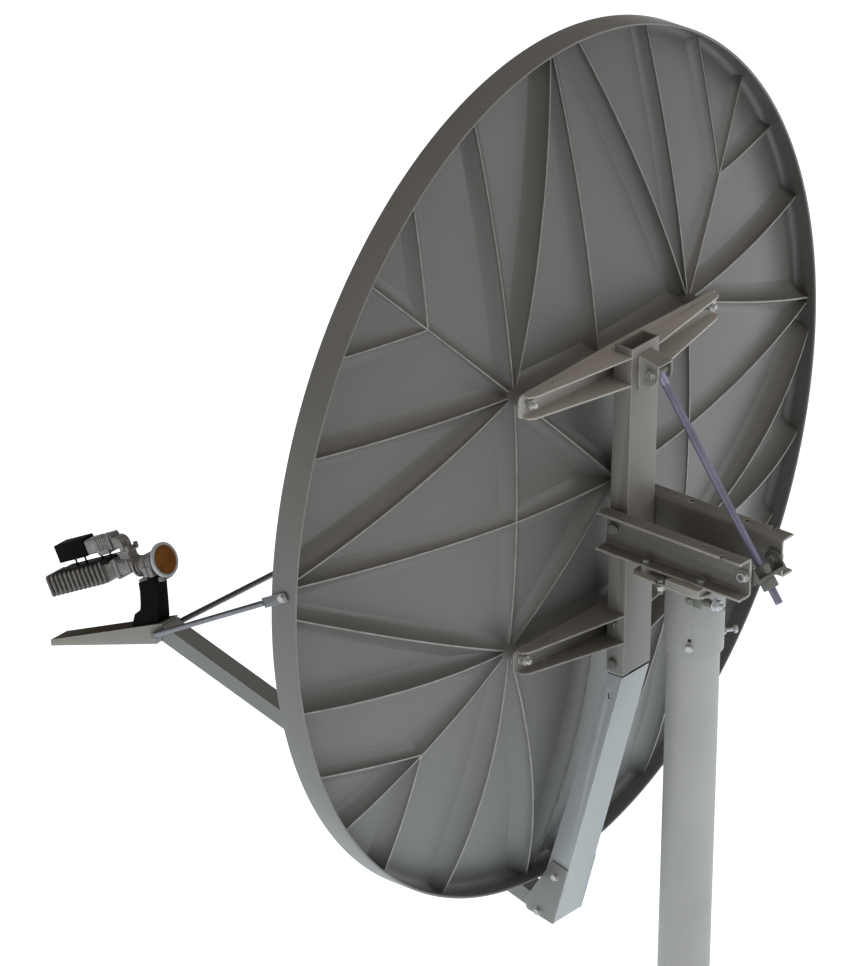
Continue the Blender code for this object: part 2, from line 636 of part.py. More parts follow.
def boom_strut(finish, plate_finish):
    """The channel that hangs from the tube, open towards the front, and its two side plates."""
    flange = [
        (-0.001, -0.004), (-STRUT_TOP_DEPTH, -0.004 - GAP),
        (-STRUT_FOOT_DEPTH, -STRUT_LENGTH + 0.004), (0.0, -STRUT_LENGTH)]
    pieces = []
    for side in (-1, 1):
        pieces.append(flat(flange, STRUT_WALL, strut_frame(side * (STRUT_HALF_WIDTH - STRUT_WALL / 2))))
    foot = -STRUT_LENGTH + 0.0004
    web = [(0.0, -0.005), (-STRUT_WALL, -0.005), (-STRUT_WALL, foot), (0.0, foot)]
    pieces.append(flat(web, 2 * STRUT_HALF_WIDTH - 0.0006, strut_frame(0.0)))
    body = joined(pieces)
    floor = box((-0.2, -0.4, TUBE_FOOT_Z - GAP), (0.2, 0.1, TUBE_FOOT_Z + 0.2))
    add("boom_strut", cut(body, floor), finish)
    gusset = [
        (0.0, -STRUT_LENGTH + 0.148), (0.0, -STRUT_LENGTH - 0.002), (-0.074, -STRUT_LENGTH - 0.006),
        (-0.086, -STRUT_LENGTH + 0.012), (-0.044, -STRUT_LENGTH + 0.149)]
    for word, side in (("left", 1), ("right", -1)):
        x = side * (STRUT_HALF_WIDTH + GAP + 0.002)
        add(f"boom_gusset_{word}", flat(gusset, 0.004, strut_frame(x)), plate_finish)


def boom_frame(x, back=0.0):
    """Frame at the boom's tip: its first axis runs back along the boom, its second up from it."""
    return side_frame(x, (BOOM_TIP.y, BOOM_TIP.z), -BOOM_RISE) @ Matrix.Translation((back, 0.0, 0.0))


def feed_boom(finish):
    """The box tube from the strut's foot to the feed."""
    half = BOOM_HEIGHT / 2
    outline = [(0.0, -half), (BOOM_LENGTH, -half), (BOOM_LENGTH, half), (0.0, half)]
    bore = half - BOOM_WALL
    inner = [(-0.01, -bore), (BOOM_LENGTH + 0.01, -bore), (BOOM_LENGTH + 0.01, bore), (-0.01, bore)]
    body = flat(outline, 2 * BOOM_HALF_WIDTH, boom_frame(0.0))
    hollow = flat(inner, 2 * (BOOM_HALF_WIDTH - BOOM_WALL), boom_frame(0.0))
    behind = box((-STRUT_WALL - GAP, -STRUT_LENGTH - 0.3, -0.2), (0.4, 0.0, 0.2))
    add("feed_boom", cut(body, hollow, placed(behind, strut_frame(0.0))), finish)


def feed_tray(finish):
    """The folded sheet on the boom's tip that carries the feed's bracket, open below."""
    wall = TRAY_WALL
    outer = BOOM_HALF_WIDTH + GAP + wall
    tip_foot = (-1.776, CENTRE_Z - 0.9025)
    rear_foot = (-1.467, CENTRE_Z - 0.7945)
    rear = (-1.4545, CENTRE_Z - 0.783)
    side_wall = [TRAY_TIP, tip_foot, rear_foot, rear, TRAY_REAR]
    pieces = []
    for side in (-1, 1):
        pieces.append(flat(side_wall, wall, side_frame(side * (outer - wall / 2))))
    run = (Vector(TRAY_REAR) - Vector(TRAY_TIP)).normalized()
    drop = Vector((run.y, -run.x)) * wall
    under = [tuple(Vector(TRAY_TIP) + drop), tuple(Vector(TRAY_REAR) + drop)]
    pieces.append(flat([TRAY_TIP, *under, TRAY_REAR], 2 * outer - 0.0006, side_frame(0.0)))
    body = joined(pieces)
    half = BOOM_HEIGHT / 2 + GAP
    clear = flat([(-GAP, -half), (0.2, -half), (0.2, half), (-GAP, half)],
                 2 * (BOOM_HALF_WIDTH + GAP), boom_frame(0.0))
    add("feed_tray", cut(body, clear), finish)


def feed_rod(side, finish):
    """A stay from the feed's tray to the rim: a round bar between two flattened, bent tabs."""
    tab = 0.004
    half = 0.011
    rim_tab = Vector((DISH_HALF_WIDTH + 0.0008 + tab / 2, -0.393, CENTRE_Z + 0.030))
    rim_bend = rim_tab + Vector((0.0, -0.047, -0.027))
    tray_tab = Vector((BOOM_HALF_WIDTH + 0.0039 + tab / 2, -1.468, CENTRE_Z - 0.770))
    along = (rim_bend - tray_tab).normalized()
    pieces = [rod(tray_tab + along * 0.010, rim_bend, FEED_ROD_RADIUS, 16)]
    for bolt, ahead, reach in ((rim_tab, rim_bend - rim_tab, 0.058), (tray_tab, along, 0.026)):
        lean = math.atan2(ahead.z, ahead.y)
        outline = [(-0.012, 0.004 - half), (-0.008, -half), (reach, -half), (reach, half),
                   (-0.008, half), (-0.012, half - 0.004)]
        pieces.append(flat(outline, tab, side_frame(bolt.x, (bolt.y, bolt.z), lean)))
    body = joined(pieces)
    name = "feed_rod_left" if side > 0 else "feed_rod_right"
    add(name, body if side > 0 else mirrored(body), finish, math.radians(30))


def feed_frame():
    """Frame on the feed's axis: Z towards the dish from the horn's face, Y up and forwards."""
    along = Vector((0.0, math.cos(FEED_RISE), math.sin(FEED_RISE)))
    up = Vector((0.0, -math.sin(FEED_RISE), math.cos(FEED_RISE)))
    side = up.cross(along)
    frame = Matrix((
        (side.x, up.x, along.x), (side.y, up.y, along.y), (side.z, up.z, along.z))).to_4x4()
    return Matrix.Translation(FEED_FACE) @ frame


def placed(mesh, frame):
    shape = bmesh.new()
    shape.from_mesh(mesh)
    shape.transform(frame)
    return mesh_of(shape)


def fed(low, high):
    """Box on the feed's axis: across, up, along."""
    return placed(box(low, high), feed_frame())


def drum(start, end, radius, sides=32):
    """Round bar along the feed's axis between two depths behind the horn's face."""
    return placed(rod((0, 0, -end), (0, 0, -start), radius, sides), feed_frame())


def turned(profile, sides):
    """Mesh turned about the feed's axis from a profile of (radius, height) points between two on the axis."""
    shape = bmesh.new()
    rows = []
    for radius, height in profile:
        spots = arc((0.0, 0.0), radius, 0, 360, sides)[:sides] if radius > 0 else [(0.0, 0.0)]
        rows.append([shape.verts.new((x, y, height)) for x, y in spots])
    for low, high in zip(rows, rows[1:]):
        for step in range(sides):
            after = (step + 1) % sides
            corners = [low[step % len(low)], low[after % len(low)]]
            corners += [high[after % len(high)], high[step % len(high)]]
            shape.faces.new(list(dict.fromkeys(corners)))
    bmesh.ops.recalc_face_normals(shape, faces=shape.faces)
    shape.transform(feed_frame())
    return mesh_of(shape)


def lofted(first, last):
    """Mesh between two equal rings of points, closed at both ends and placed on the feed's axis."""
    shape = bmesh.new()
    rows = [[shape.verts.new(point) for point in ring] for ring in (first, last)]
    shape.faces.new(rows[0])
    shape.faces.new(rows[1])
    for step in range(len(first)):
        after = (step + 1) % len(first)
        shape.faces.new((rows[0][step], rows[0][after], rows[1][after], rows[1][step]))
    bmesh.ops.recalc_face_normals(shape, faces=shape.faces)
    shape.transform(feed_frame())
    return mesh_of(shape)


def octagon(half, low, high, corner, depth):
    """Ring of a chamfered section at a depth behind the horn's face."""
    right = [(half - corner, low), (half, low + corner), (half, high - corner), (half - corner, high)]
    return [(x, y, -depth) for x, y in right + [(-x, y) for x, y in reversed(right)]]


def horn_profile(spare, face):
    """Outline of the horn from its rear to its face, grown by a spare margin."""
    throat, flare, ring = THROAT_RADIUS + spare, FLARE_RADIUS + spare, RING_RADIUS + spare
    rear, back = -THROAT_END - spare, -RING_DEPTH - spare
    return [(0.0, rear), (throat, rear), (throat, -THROAT_START), (flare, back), (ring, back), (ring, face)]


def comb(length, root, tip, pitch, fin, half_width, turned):
    """Extruded comb profile: fins along one pair of sides of a box that starts at z = 0."""
    upper = []
    count = int(length / pitch)
    for index in range(count):
        start = index * pitch
        upper += [(start, tip), (start + fin, tip), (start + fin, root), (start + pitch, root)]
    upper += [(count * pitch, tip), (length, tip)]
    outline = upper + [(z, -y) for z, y in reversed(upper)]
    base = Matrix(((0, 0, -1, 0), (0, 1, 0, 0), (1, 0, 0, 0), (0, 0, 0, 1)))
    turn = Matrix.Rotation(math.pi / 2, 4, "Z") if turned else Matrix.Identity(4)
    return flat(outline, 2 * half_width, turn @ base)


def feed(horn_finish, window_finish, cast_finish, dark_finish, black_finish, bracket_finish):
    """The horn, the transducer, the finned transmitter, the receiver and its bent waveguide."""
    seat = WINDOW_RADIUS + 0.0005
    recess = [(seat, 0.0), (seat, -WINDOW_DEPTH - GAP), (0.0, -WINDOW_DEPTH - GAP)]
    add("feed_horn", turned(horn_profile(0.0, 0.0) + recess, 40), horn_finish, math.radians(25))
    add("horn_window", drum(0.0004, WINDOW_DEPTH, WINDOW_RADIUS, 40), window_finish, math.radians(30))
    add("horn_flange", drum(THROAT_END + GAP, DISC_END, DISC_RADIUS, 32), cast_finish, math.radians(30))
    rear, front = -DISC_END - GAP, -CASTING_END
    wide = octagon(0.0245, -0.0125, 0.031, 0.007, CASTING_END)
    narrow = octagon(0.019, -0.0065, 0.023, 0.006, DISC_END + GAP)
    pad = fed((-0.0145, 0.018, -0.1205), (0.0145, ELBOW_SEAT, rear - 0.002))
    plate = fed((-0.0265, -0.014, front), (0.0265, 0.033, front + 0.009))
    add("transducer", joined([lofted(wide, narrow), pad, plate]), cast_finish)
    fins_start, fins_end = -FINS_END, front - GAP
    length = fins_end - fins_start
    flanks = comb(length, 0.022, 0.0265, 0.0165, 0.006, 0.05, False)
    sides = comb(length, 0.030, 0.035, 0.0165, 0.006, 0.05, True)
    shift = feed_frame() @ Matrix.Translation((0.0, FINS_RISE, fins_start))
    add("transmitter", placed(joined([flanks, sides], "INTERSECT"), shift), dark_finish)
    add("receiver", fed((-0.0225, 0.0535, -RECEIVER_END), (0.0225, 0.0955, -RECEIVER_START - GAP)), black_finish)
    add("receiver_waveguide_body", fed((-0.019, 0.055, -RECEIVER_START), (0.019, 0.0895, -0.129)), cast_finish)
    add("waveguide_elbow", waveguide_elbow(), cast_finish, math.radians(30))
    feed_bracket(bracket_finish)


def waveguide_elbow():
    """The duct that bends from the receiver down to the transducer, with its foot plate."""
    along, up = ELBOW_CENTRE
    start, foot = -0.129 + GAP, ELBOW_SEAT + GAP
    outline = [(start, up + ELBOW_RADIUS), (start, 0.056)]
    outline += arc((along, 0.048), 0.008, 90, 0, 5)
    outline += [(along + 0.008, foot + 0.001), (along + ELBOW_RADIUS, foot + 0.001)]
    outline += arc((along, up), ELBOW_RADIUS, 0, 90, 8)
    swing = feed_frame() @ Matrix(((0, 0, -1, 0), (0, 1, 0, 0), (1, 0, 0, 0), (0, 0, 0, 1)))
    duct = flat(outline, 2 * ELBOW_HALF_WIDTH, swing)
    plate = fed((-0.018, foot, -0.122), (0.018, foot + 0.005, -0.084))
    return joined([duct, plate])


def feed_bracket(finish):
    """The ribbed black post between the tray and the horn, with a saddle under the horn's flare."""
    run = (Vector(TRAY_REAR) - Vector(TRAY_TIP)).normalized()
    rise = Vector((-run.y, run.x))

    def on_tray(y):
        share = (y - TRAY_TIP[0]) / run.x
        return tuple(Vector(TRAY_TIP) + run * share + rise * (GAP + 0.0002))

    outline = [on_tray(-1.546), on_tray(-1.470), (-1.470, CENTRE_Z - 0.7330), (-1.478, CENTRE_Z - 0.656),
               (-1.4795, CENTRE_Z - 0.635), (-1.529, CENTRE_Z - 0.665), (-1.5245, CENTRE_Z - 0.6855),
               (-1.5227, CENTRE_Z - 0.718), (-1.5236, CENTRE_Z - 0.731), (-1.5395, CENTRE_Z - 0.747),
               (-1.543, CENTRE_Z - 0.760)]
    body = flat(outline, 2 * BRACKET_HALF_WIDTH, side_frame(0.0))
    saddle = fed((-0.013, -0.045, -0.058), (0.013, -0.015, -0.020))
    horn = turned(horn_profile(GAP, 0.03) + [(0.0, 0.03)], 40)
    disc = drum(THROAT_END, DISC_END + GAP, DISC_RADIUS + GAP)
    add("feed_bracket", cut(joined([body, saddle]), horn, disc), finish)


def build():
    clear_scene()
    coat = material("grey_coat", (0.20, 0.19, 0.18), 0.55, 0.2)
    zinc = material("galvanised", (0.45, 0.46, 0.46), 0.45, 0.8)
    steel = material("bolt_steel", (0.50, 0.51, 0.50), 0.35, 0.9)
    purple = material("passivated_rod", (0.26, 0.24, 0.32), 0.45, 0.6)
    cast = material("cast_metal", (0.40, 0.38, 0.36), 0.5, 0.7)
    dark = material("dark_casting", (0.16, 0.15, 0.14), 0.6, 0.3)
    black = material("black_plastic", (0.015, 0.015, 0.017), 0.5, 0.0)
    ring = material("light_ring", (0.42, 0.42, 0.43), 0.4, 0.2)
    amber = material("amber_window", (0.35, 0.12, 0.02), 0.35, 0.0)
    mast(zinc)
    azimuth_head(zinc, zinc, steel)
    for side in (1, -1):
        yoke_channel(side, coat)
    pivot_bolt(steel)
    trunnion(zinc, steel)
    back_tube(coat)
    clevis_parts = rod_clevis(coat)
    elevation_rod(purple, steel, clevis_parts)
    reflector(coat)
    cross_channel("cross_channel_upper", CROSS_UPPER_Z, UPPER_HUB_Z, coat)
    cross_channel("cross_channel_lower", CROSS_LOWER_Z, LOWER_HUB_Z, coat)
    boom_strut(coat, coat)
    feed_boom(coat)
    feed_tray(coat)
    for side in (1, -1):
        feed_rod(side, zinc)
    feed(ring, amber, cast, dark, black, black)


build()
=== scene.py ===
"""Finished look of an offset dish antenna on a pipe mast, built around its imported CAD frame.

Metres, +Z up, the dish faces -Y. Left is the dish's own left hand, +X.
"""
import json
import math

import bmesh
import bpy
from bpy.props import FloatProperty, FloatVectorProperty, IntProperty, PointerProperty
from mathutils import Matrix, Vector

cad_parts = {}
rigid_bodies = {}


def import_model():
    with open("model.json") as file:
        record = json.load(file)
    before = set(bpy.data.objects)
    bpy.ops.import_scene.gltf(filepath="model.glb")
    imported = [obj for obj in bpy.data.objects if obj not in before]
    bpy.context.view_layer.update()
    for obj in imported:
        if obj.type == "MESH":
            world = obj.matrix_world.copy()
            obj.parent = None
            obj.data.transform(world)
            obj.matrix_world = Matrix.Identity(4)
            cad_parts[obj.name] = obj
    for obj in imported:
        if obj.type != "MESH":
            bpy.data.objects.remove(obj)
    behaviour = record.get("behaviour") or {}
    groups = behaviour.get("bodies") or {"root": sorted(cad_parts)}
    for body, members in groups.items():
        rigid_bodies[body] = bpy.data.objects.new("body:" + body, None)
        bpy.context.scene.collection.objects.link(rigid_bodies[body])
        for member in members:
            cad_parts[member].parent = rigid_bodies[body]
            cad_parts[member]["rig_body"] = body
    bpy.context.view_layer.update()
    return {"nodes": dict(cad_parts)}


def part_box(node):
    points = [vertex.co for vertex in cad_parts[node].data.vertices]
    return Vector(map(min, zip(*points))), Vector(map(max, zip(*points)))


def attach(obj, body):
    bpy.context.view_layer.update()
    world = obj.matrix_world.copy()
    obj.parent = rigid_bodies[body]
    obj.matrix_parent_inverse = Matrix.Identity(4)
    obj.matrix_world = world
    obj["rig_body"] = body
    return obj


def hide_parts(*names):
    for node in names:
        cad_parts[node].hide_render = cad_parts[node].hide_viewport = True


bl_info = {
    "name": "Dish Antenna Finish",
    "version": (1, 0, 0),
    "blender": (4, 5, 0),
    "location": "3D View > Sidebar > Dish",
    "description": "Mouldings, fasteners, feed and finishes of a dish antenna on a pipe mast",
    "category": "Object",
}

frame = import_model()
LEFT, BACK, UP = Vector((1, 0, 0)), Vector((0, 1, 0)), Vector((0, 0, 1))
SIDES = (-1, 1)
# An outline's first axis laid along Z and raised across X; an outline of (y, z) raised along X.
LENGTHWISE = Matrix(((0, 0, -1, 0), (0, 1, 0, 0), (1, 0, 0, 0), (0, 0, 0, 1)))
CROSSWISE = Matrix(((0, 0, 1, 0), (1, 0, 0, 0), (0, 1, 0, 0), (0, 0, 0, 1)))


def middle(node):
    low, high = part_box(node)
    return (low + high) / 2


RIM_LOW, RIM_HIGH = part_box("reflector_rim")
DISH_HALF_WIDTH = RIM_HIGH.x
DISH_HALF_HEIGHT = (RIM_HIGH.z - RIM_LOW.z) / 2
CENTRE_Z = (RIM_HIGH.z + RIM_LOW.z) / 2
RIM_FRONT_Y = RIM_LOW.y
RIM_BACK_Y = RIM_HIGH.y
RIM_WALL = 0.0035
RIM_STEPS = 240
SHELL_WALL = 0.004
DISH_TILT = math.acos(DISH_HALF_WIDTH / DISH_HALF_HEIGHT)
FOCAL_LENGTH = 1.120

HUB_X = 0.304
UPPER_HUB_Z = CENTRE_Z + 0.308
LOWER_HUB_Z = CENTRE_Z - 0.2975
MIDDLE_Z = CENTRE_Z + 0.014
HUB_BACK_Y = -0.2257
HUB_SINK = 0.0004
# Radius of a hub's boss and share of the way from the shell to its back.
HUB_PROFILE = (
    (0.024, 0.0), (0.0205, 0.08), (0.018, 0.3), (0.0165, 0.7), (0.0155, 0.97), (0.0145, 1.0),
    (0.0062, 1.0), (0.0058, 0.8))
UPPER_HUB_RIB = 0.026
LOWER_HUB_RIB = 0.013
MIDDLE_RIB = 0.032
SIDE_UPRIGHT_RIB = 0.018
LEVEL_RIB = 0.030
UPRIGHT_X = 0.0306
UPRIGHT_ANGLE = 88.1
UPRIGHT_HEIGHT = 0.023
# Where a rib meets the rim, in degrees, then its heights half way and at the rim. The side rib has the
# height at its start before them.
SIDE_RIB = (2.8, 0.018, 0.023, 0.037)
UPPER_RIBS = (
    (87.3, 0.036, 0.032), (70.8, 0.024, 0.023), (43.1, 0.014, 0.018), (19.2, 0.029, 0.034),
    (3.5, 0.033, 0.040))
LOWER_RIBS = (
    (85.8, 0.034, 0.036), (66.7, 0.036, 0.034), (38.0, 0.027, 0.038), (15.0, 0.044, 0.046),
    (1.0, 0.048, 0.044))
FORKED_RIB = 2
FORK_SHARE = 0.56
UPPER_FORKS = ((57.0, 0.018), (31.5, 0.018))
LOWER_FORKS = ((51.4, 0.033), (26.5, 0.033))
RIB_STEPS = 16
RIB_SINK = 0.0004
RIB_FOOT_SHARE = 0.78

COLLAR_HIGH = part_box("azimuth_collar")[1]
PLATE_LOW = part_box("azimuth_plate")[0]
CHANNEL_LOW, CHANNEL_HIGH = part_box("yoke_channel_left")
TUBE_LOW, TUBE_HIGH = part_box("back_tube")
CHANNEL_WALL = 0.0045
WEB_OUT = CHANNEL_LOW.x + CHANNEL_WALL
HEAD_GAP = 0.0145
HEAD_TOP_Z = CHANNEL_LOW.z - HEAD_GAP
CROSS_FACE_Y = -0.2214
SMALL_HOLE = 0.0022
COLLAR_SCREW_TURNS = (27, 147, 267)
COLLAR_PORT_TURNS = (28, 268)
CLAMP_TURN = 147
CLAMP_DROP = -0.290
PIVOT = middle("pivot_bolt")
TRUNNION = Vector((0.0, 0.168, CENTRE_Z - 0.070))
CLEVIS = Vector((0.0, middle("clevis_bolt").y, middle("clevis_bolt").z))
ROD_LINE = (TRUNNION - CLEVIS).normalized()
ROD_REACH = 0.558
ROD_RADIUS = 0.0092
ROD_SLACK = 0.0056
THREAD_START = 0.030
NUT_CORNER = 0.0186
NUT_HEIGHT = 0.0222
NUT_CHAMFER = 0.0012
SADDLE_ARM = 0.0435
CLEVIS_REACH = 0.0263
FEED_RISE = math.radians(28.7)
FEED_FACE = Vector((0.0, -1.466, CENTRE_Z - 0.592))

# The feed's turned pieces as (radius, place along its axis), from the horn's face backwards.
HORN_PROFILE = (
    (0.0, -0.0823), (0.0190, -0.0823), (0.0190, -0.0785), (0.0226, -0.0780), (0.0232, -0.0774),
    (0.0232, -0.0748), (0.0226, -0.0742), (0.0190, -0.0736), (0.0190, -0.0690), (0.0208, -0.0684),
    (0.0246, -0.0470), (0.0222, -0.0462), (0.0228, -0.0440), (0.0252, -0.0432), (0.0284, -0.0240),
    (0.0252, -0.0230), (0.0262, -0.0190), (0.0296, -0.0180), (0.0306, -0.0100), (0.0306, -0.0090),
    (0.0, -0.0090))
HORN_RING_PROFILE = (
    (0.0, -0.0095), (0.0388, -0.0094), (0.0399, -0.0083), (0.0399, -0.0014), (0.0389, -0.0003),
    (0.0345, -0.0003), (0.0334, -0.0012), (0.0330, -0.0024), (0.0, -0.0024))
HORN_COLLAR_PROFILE = (
    (0.0, -0.0894), (0.0240, -0.0894), (0.0249, -0.0885), (0.0249, -0.0838), (0.0240, -0.0829),
    (0.0, -0.0829))
# The feed's slabs as half width, low and high across, rear and front along its axis, edge.
HORN_CLAMPS = (
    (0.0285, -0.0240, -0.0020, -0.0560, -0.0430, 0.0015),
    (0.0290, -0.0270, -0.0030, -0.0400, -0.0270, 0.0015))
BRACKET_SEATS = (
    (0.0165, -0.0440, -0.0330, -0.0300, -0.0130, 0.0015),
    (0.0170, -0.0350, -0.0270, -0.0900, -0.0620, 0.0020),
    (0.0130, -0.0300, -0.0230, -0.0780, -0.0600, 0.0020))
CASTING_LUGS = (
    (0.0150, 0.0400, 0.0490, -0.0990, -0.0880, 0.0020),
    (0.0155, 0.0790, 0.0850, -0.1288, -0.1235, 0.0012),
    (0.0240, 0.0120, 0.0190, -0.1180, -0.1120, 0.0015),
    (0.0225, -0.0080, 0.0240, -0.1010, -0.0960, 0.0015))
WAVEGUIDE_SLABS = (
    (0.0170, 0.0580, 0.0870, -0.1700, -0.1300, 0.003, 3),
    (0.0189, 0.0552, 0.0893, -0.1345, -0.1292, 0.0012),
    (0.0189, 0.0545, 0.0893, -0.2103, -0.1690, 0.0050, 4),
    (0.0186, 0.0468, 0.0600, -0.1800, -0.1430, 0.0040, 3))
RECEIVER_SLABS = (
    (0.0224, 0.0536, 0.0954, -0.3009, -0.2125, 0.0016, 3),
    (0.0215, 0.0545, 0.0945, -0.2140, -0.2110, 0.0010))
FINS_START = -0.352
FINS_END = -0.1755
FIN_THICKNESS = 0.0062
CASING_CENTRE = 0.0107
CASING_HALF_WIDTH = 0.035
CASING_HALF_HEIGHT = 0.0265
NECK_START = -0.172
NECK_MIDDLE = -0.150
NECK_END = -0.1393
POST_PLACES = (-0.272, -0.241, -0.188, -0.160)

CAMERA_PLACE = (15.4958, 11.3209, 11.4303)
CAMERA_HEADING = 52.145
CAMERA_DIP = 26.631
CAMERA_ROLL = 1.049
CAMERA_LENS = 376.5
CAMERA_REACH = 200.0
FLOOR_REACH = 60.0


def length_property(name, description, default):
    return FloatProperty(name=name, description=description, default=default, unit="LENGTH")


def power_property(name, description, default):
    return FloatProperty(name=name, description=description, default=default, unit="POWER")


def colour_property(name, description, *default):
    return FloatVectorProperty(
        name=name, description=description, default=default, subtype="COLOR", min=0.0, max=1.0)


class DishSizes(bpy.types.PropertyGroup):
    """Sizes of the finer work."""

    rib_crest: length_property("Rib crest", "Thickness of a rib at its back edge", 0.0036)
    rib_fillet: length_property("Rib fillet", "How far a rib's foot spreads on the shell", 0.031)
    rim_fillet: length_property("Rim fillet", "Radius where the shell turns up into its rim", 0.024)
    rim_lip: length_property("Rim lip", "Thickness of the rim's back edge", 0.0060)
    sheet_edge: length_property("Sheet edge", "Rounding of the sheet metal's edges", 0.0009)
    thread_pitch: length_property("Thread pitch", "Pitch of the elevation rod's thread", 0.0025)
    hub_bolt: length_property("Hub bolt", "Thread of the bolts through the cross channels", 0.0130)
    mount_bolt: length_property("Mount bolt", "Thread of the bolts of the azimuth plate", 0.012)
    tube_bolt: length_property("Tube bolt", "Thread of the bolts in the tube's sides", 0.0120)
    small_bolt: length_property("Small bolt", "Thread of the gusset and stay bolts", 0.0090)
    fin_count: IntProperty(
        name="Fins", description="Cooling fins of the transmitter", default=12, min=2, max=40)


class DishColours(bpy.types.PropertyGroup):
    """Colours of the coats and metals."""

    reflector: colour_property("Reflector coat", "Coat of the shell, ribs and rim", 0.154, 0.147, 0.137)
    mount: colour_property(
        "Mount coat", "Coat of the tube, channels, strut and boom", 0.192, 0.180, 0.164)
    strut: colour_property("Strut coat", "Paler coat of the boom's strut", 0.365, 0.392, 0.410)
    tray: colour_property("Tray coat", "Pale coat of the feed's tray", 0.30, 0.295, 0.27)
    mast: colour_property("Mast coat", "Coat of the mast and its collar", 0.360, 0.365, 0.355)
    zinc: colour_property("Zinc", "Plated bolts and nuts", 0.42, 0.42, 0.40)
    # Dull zinc is a darker copy of the zinc: partly weathering, partly painted shade on fasteners that sit in
    # shade.
    dull: colour_property("Dull zinc", "Weathered bolts and nuts of the yoke", 0.17, 0.175, 0.155)
    # Painted shade: this near-black colour paints the shade on the cover over the transmitter's fins and
    # inside cut holes.
    shadow: colour_property("Dark cover", "Cover over the transmitter's fins", 0.022, 0.020, 0.019)
    # Bright zinc is a brighter copy of the zinc: painted highlight on the clamp screw and the trim screw's
    # head.
    bright: colour_property(
        "Bright zinc", "Fresh plating of the trim screw and the clamp screw", 0.52, 0.53, 0.56)
    stay: colour_property("Stay steel", "Bars from the rim to the feed's tray", 0.235, 0.240, 0.262)
    saddle: colour_property(
        "Saddle steel", "Saddle that the elevation rod passes through", 0.125, 0.132, 0.118)
    rod: colour_property("Rod plating", "Tinted plating of the elevation rod", 0.285, 0.275, 0.385)
    cast: colour_property("Cast alloy", "Waveguide castings", 0.212, 0.202, 0.196)
    casing: colour_property(
        "Transmitter casing", "Painted fins of the transmitter", 0.150, 0.138, 0.128)
    plastic: colour_property("Black plastic", "Bracket and receiver", 0.011, 0.0105, 0.010)
    horn: colour_property("Horn ring", "Ring round the horn's window", 0.40, 0.41, 0.43)
    window: colour_property("Window film", "Film over the horn's mouth", 0.185, 0.062, 0.003)


class DishStudio(bpy.types.PropertyGroup):
    """The floor and the lights."""

    floor: colour_property("Floor", "Colour of the floor", 0.90, 0.92, 0.94)
    floor_glow: FloatProperty(
        name="Floor glow", description="Light that the floor gives of itself", default=0.97)
    fill: power_property("Fill", "Power of the faint light on the other side", 32.0)
    sky: FloatProperty(name="Sky", description="Light from all round", default=0.33)
    overhead: power_property("Overhead", "Power of the soft light overhead", 115.0)
    side: power_property("Side", "Power of the soft light beside the camera", 150.0)


def mesh_of(shape, place=None):
    if place is not None:
        shape.transform(place)
    mesh = bpy.data.meshes.new("shape")
    shape.to_mesh(mesh)
    shape.free()
    return mesh


def along(start, direction, side=(1.0, 0.0, 0.0)):
    """Frame at a point whose Z axis runs along a direction, its X axis near the side given."""
    ahead = Vector(direction).normalized()
    up = ahead.cross(Vector(side))
    if up.length < 0.01:
        up = ahead.cross(Vector((0.0, 1.0, 0.0)))
    up.normalize()
    turn = Matrix((up.cross(ahead), up, ahead)).transposed().to_4x4()
    return Matrix.Translation(Vector(start)) @ turn


def ring_points(count, reach, height=0.0):
    """Ring of points round Z; reach is a radius or gives one for each step."""
    points = []
    for step in range(count):
        turn = 2 * math.pi * step / count
        radius = reach(step) if callable(reach) else reach
        points.append((radius * math.cos(turn), radius * math.sin(turn), height))
    return points


def hexagon(count, corner):
    """Reach of a ring of points on a hexagon whose first corner is at the first step."""
    def reach(step):
        lean = math.radians(step * 360 / count % 60 - 30)
        return corner * math.cos(math.pi / 6) / math.cos(lean)
    return reach


def lofted(rings, place=None, closed=False, capped=False, edge=0.0):
    """Mesh over a run of rings, some a single point; the run closes on itself or has its ends capped."""
    shape = bmesh.new()
    rows = [[shape.verts.new(point) for point in ring] for ring in rings]
    if capped:
        shape.faces.new(rows[0][::-1])
        shape.faces.new(rows[-1])
    count = max(len(row) for row in rows)
    for low, high in zip(rows, rows[1:] + rows[:closed]):
        for step in range(count):
            after = (step + 1) % count
            corners = list(dict.fromkeys([
                low[step % len(low)], low[after % len(low)],
                high[after % len(high)], high[step % len(high)]]))
            if len(corners) > 2:
                shape.faces.new(corners)
    bmesh.ops.recalc_face_normals(shape, faces=shape.faces)
    if edge > 0:
        sharp = [e for e in shape.edges if e.calc_face_angle(0.0) > math.radians(25)]
        bmesh.ops.bevel(shape, geom=sharp, offset=edge, segments=2, profile=0.5, affect="EDGES")
    return mesh_of(shape, place)


def lathe(profile, steps=32, place=None):
    """Mesh turned from a profile of (radius, height) points that starts and ends on the axis or closes."""
    rings = [ring_points(steps if radius else 1, radius, height) for radius, height in profile]
    return lofted(rings, place, closed=len(rings[0]) > 1 and len(rings[-1]) > 1)


def prism(outline, low, high, place=None, edge=0.0):
    """Mesh of a flat outline raised from one height to another, with rounded edges."""
    rings = [[(x, y, height) for x, y in outline] for height in (low, high)]
    return lofted(rings, place, capped=True, edge=edge)


def block(low, high, place=None, edge=0.0, segments=2):
    """Mesh of a box between two corners with rounded edges."""
    low, high = Vector(low), Vector(high)
    shape = bmesh.new()
    bmesh.ops.create_cube(shape, size=1.0)
    bmesh.ops.scale(shape, vec=high - low, verts=shape.verts)
    bmesh.ops.translate(shape, vec=(low + high) / 2, verts=shape.verts)
    if edge > 0:
        bmesh.ops.bevel(shape, geom=list(shape.edges), offset=edge, segments=segments,
                        profile=0.5, affect="EDGES")
    return mesh_of(shape, place)


def merged(meshes):
    """One mesh from several."""
    shape = bmesh.new()
    for mesh in meshes:
        shape.from_mesh(mesh)
        bpy.data.meshes.remove(mesh)
    return mesh_of(shape)


def moved(mesh, place):
    mesh.transform(place)
    return mesh


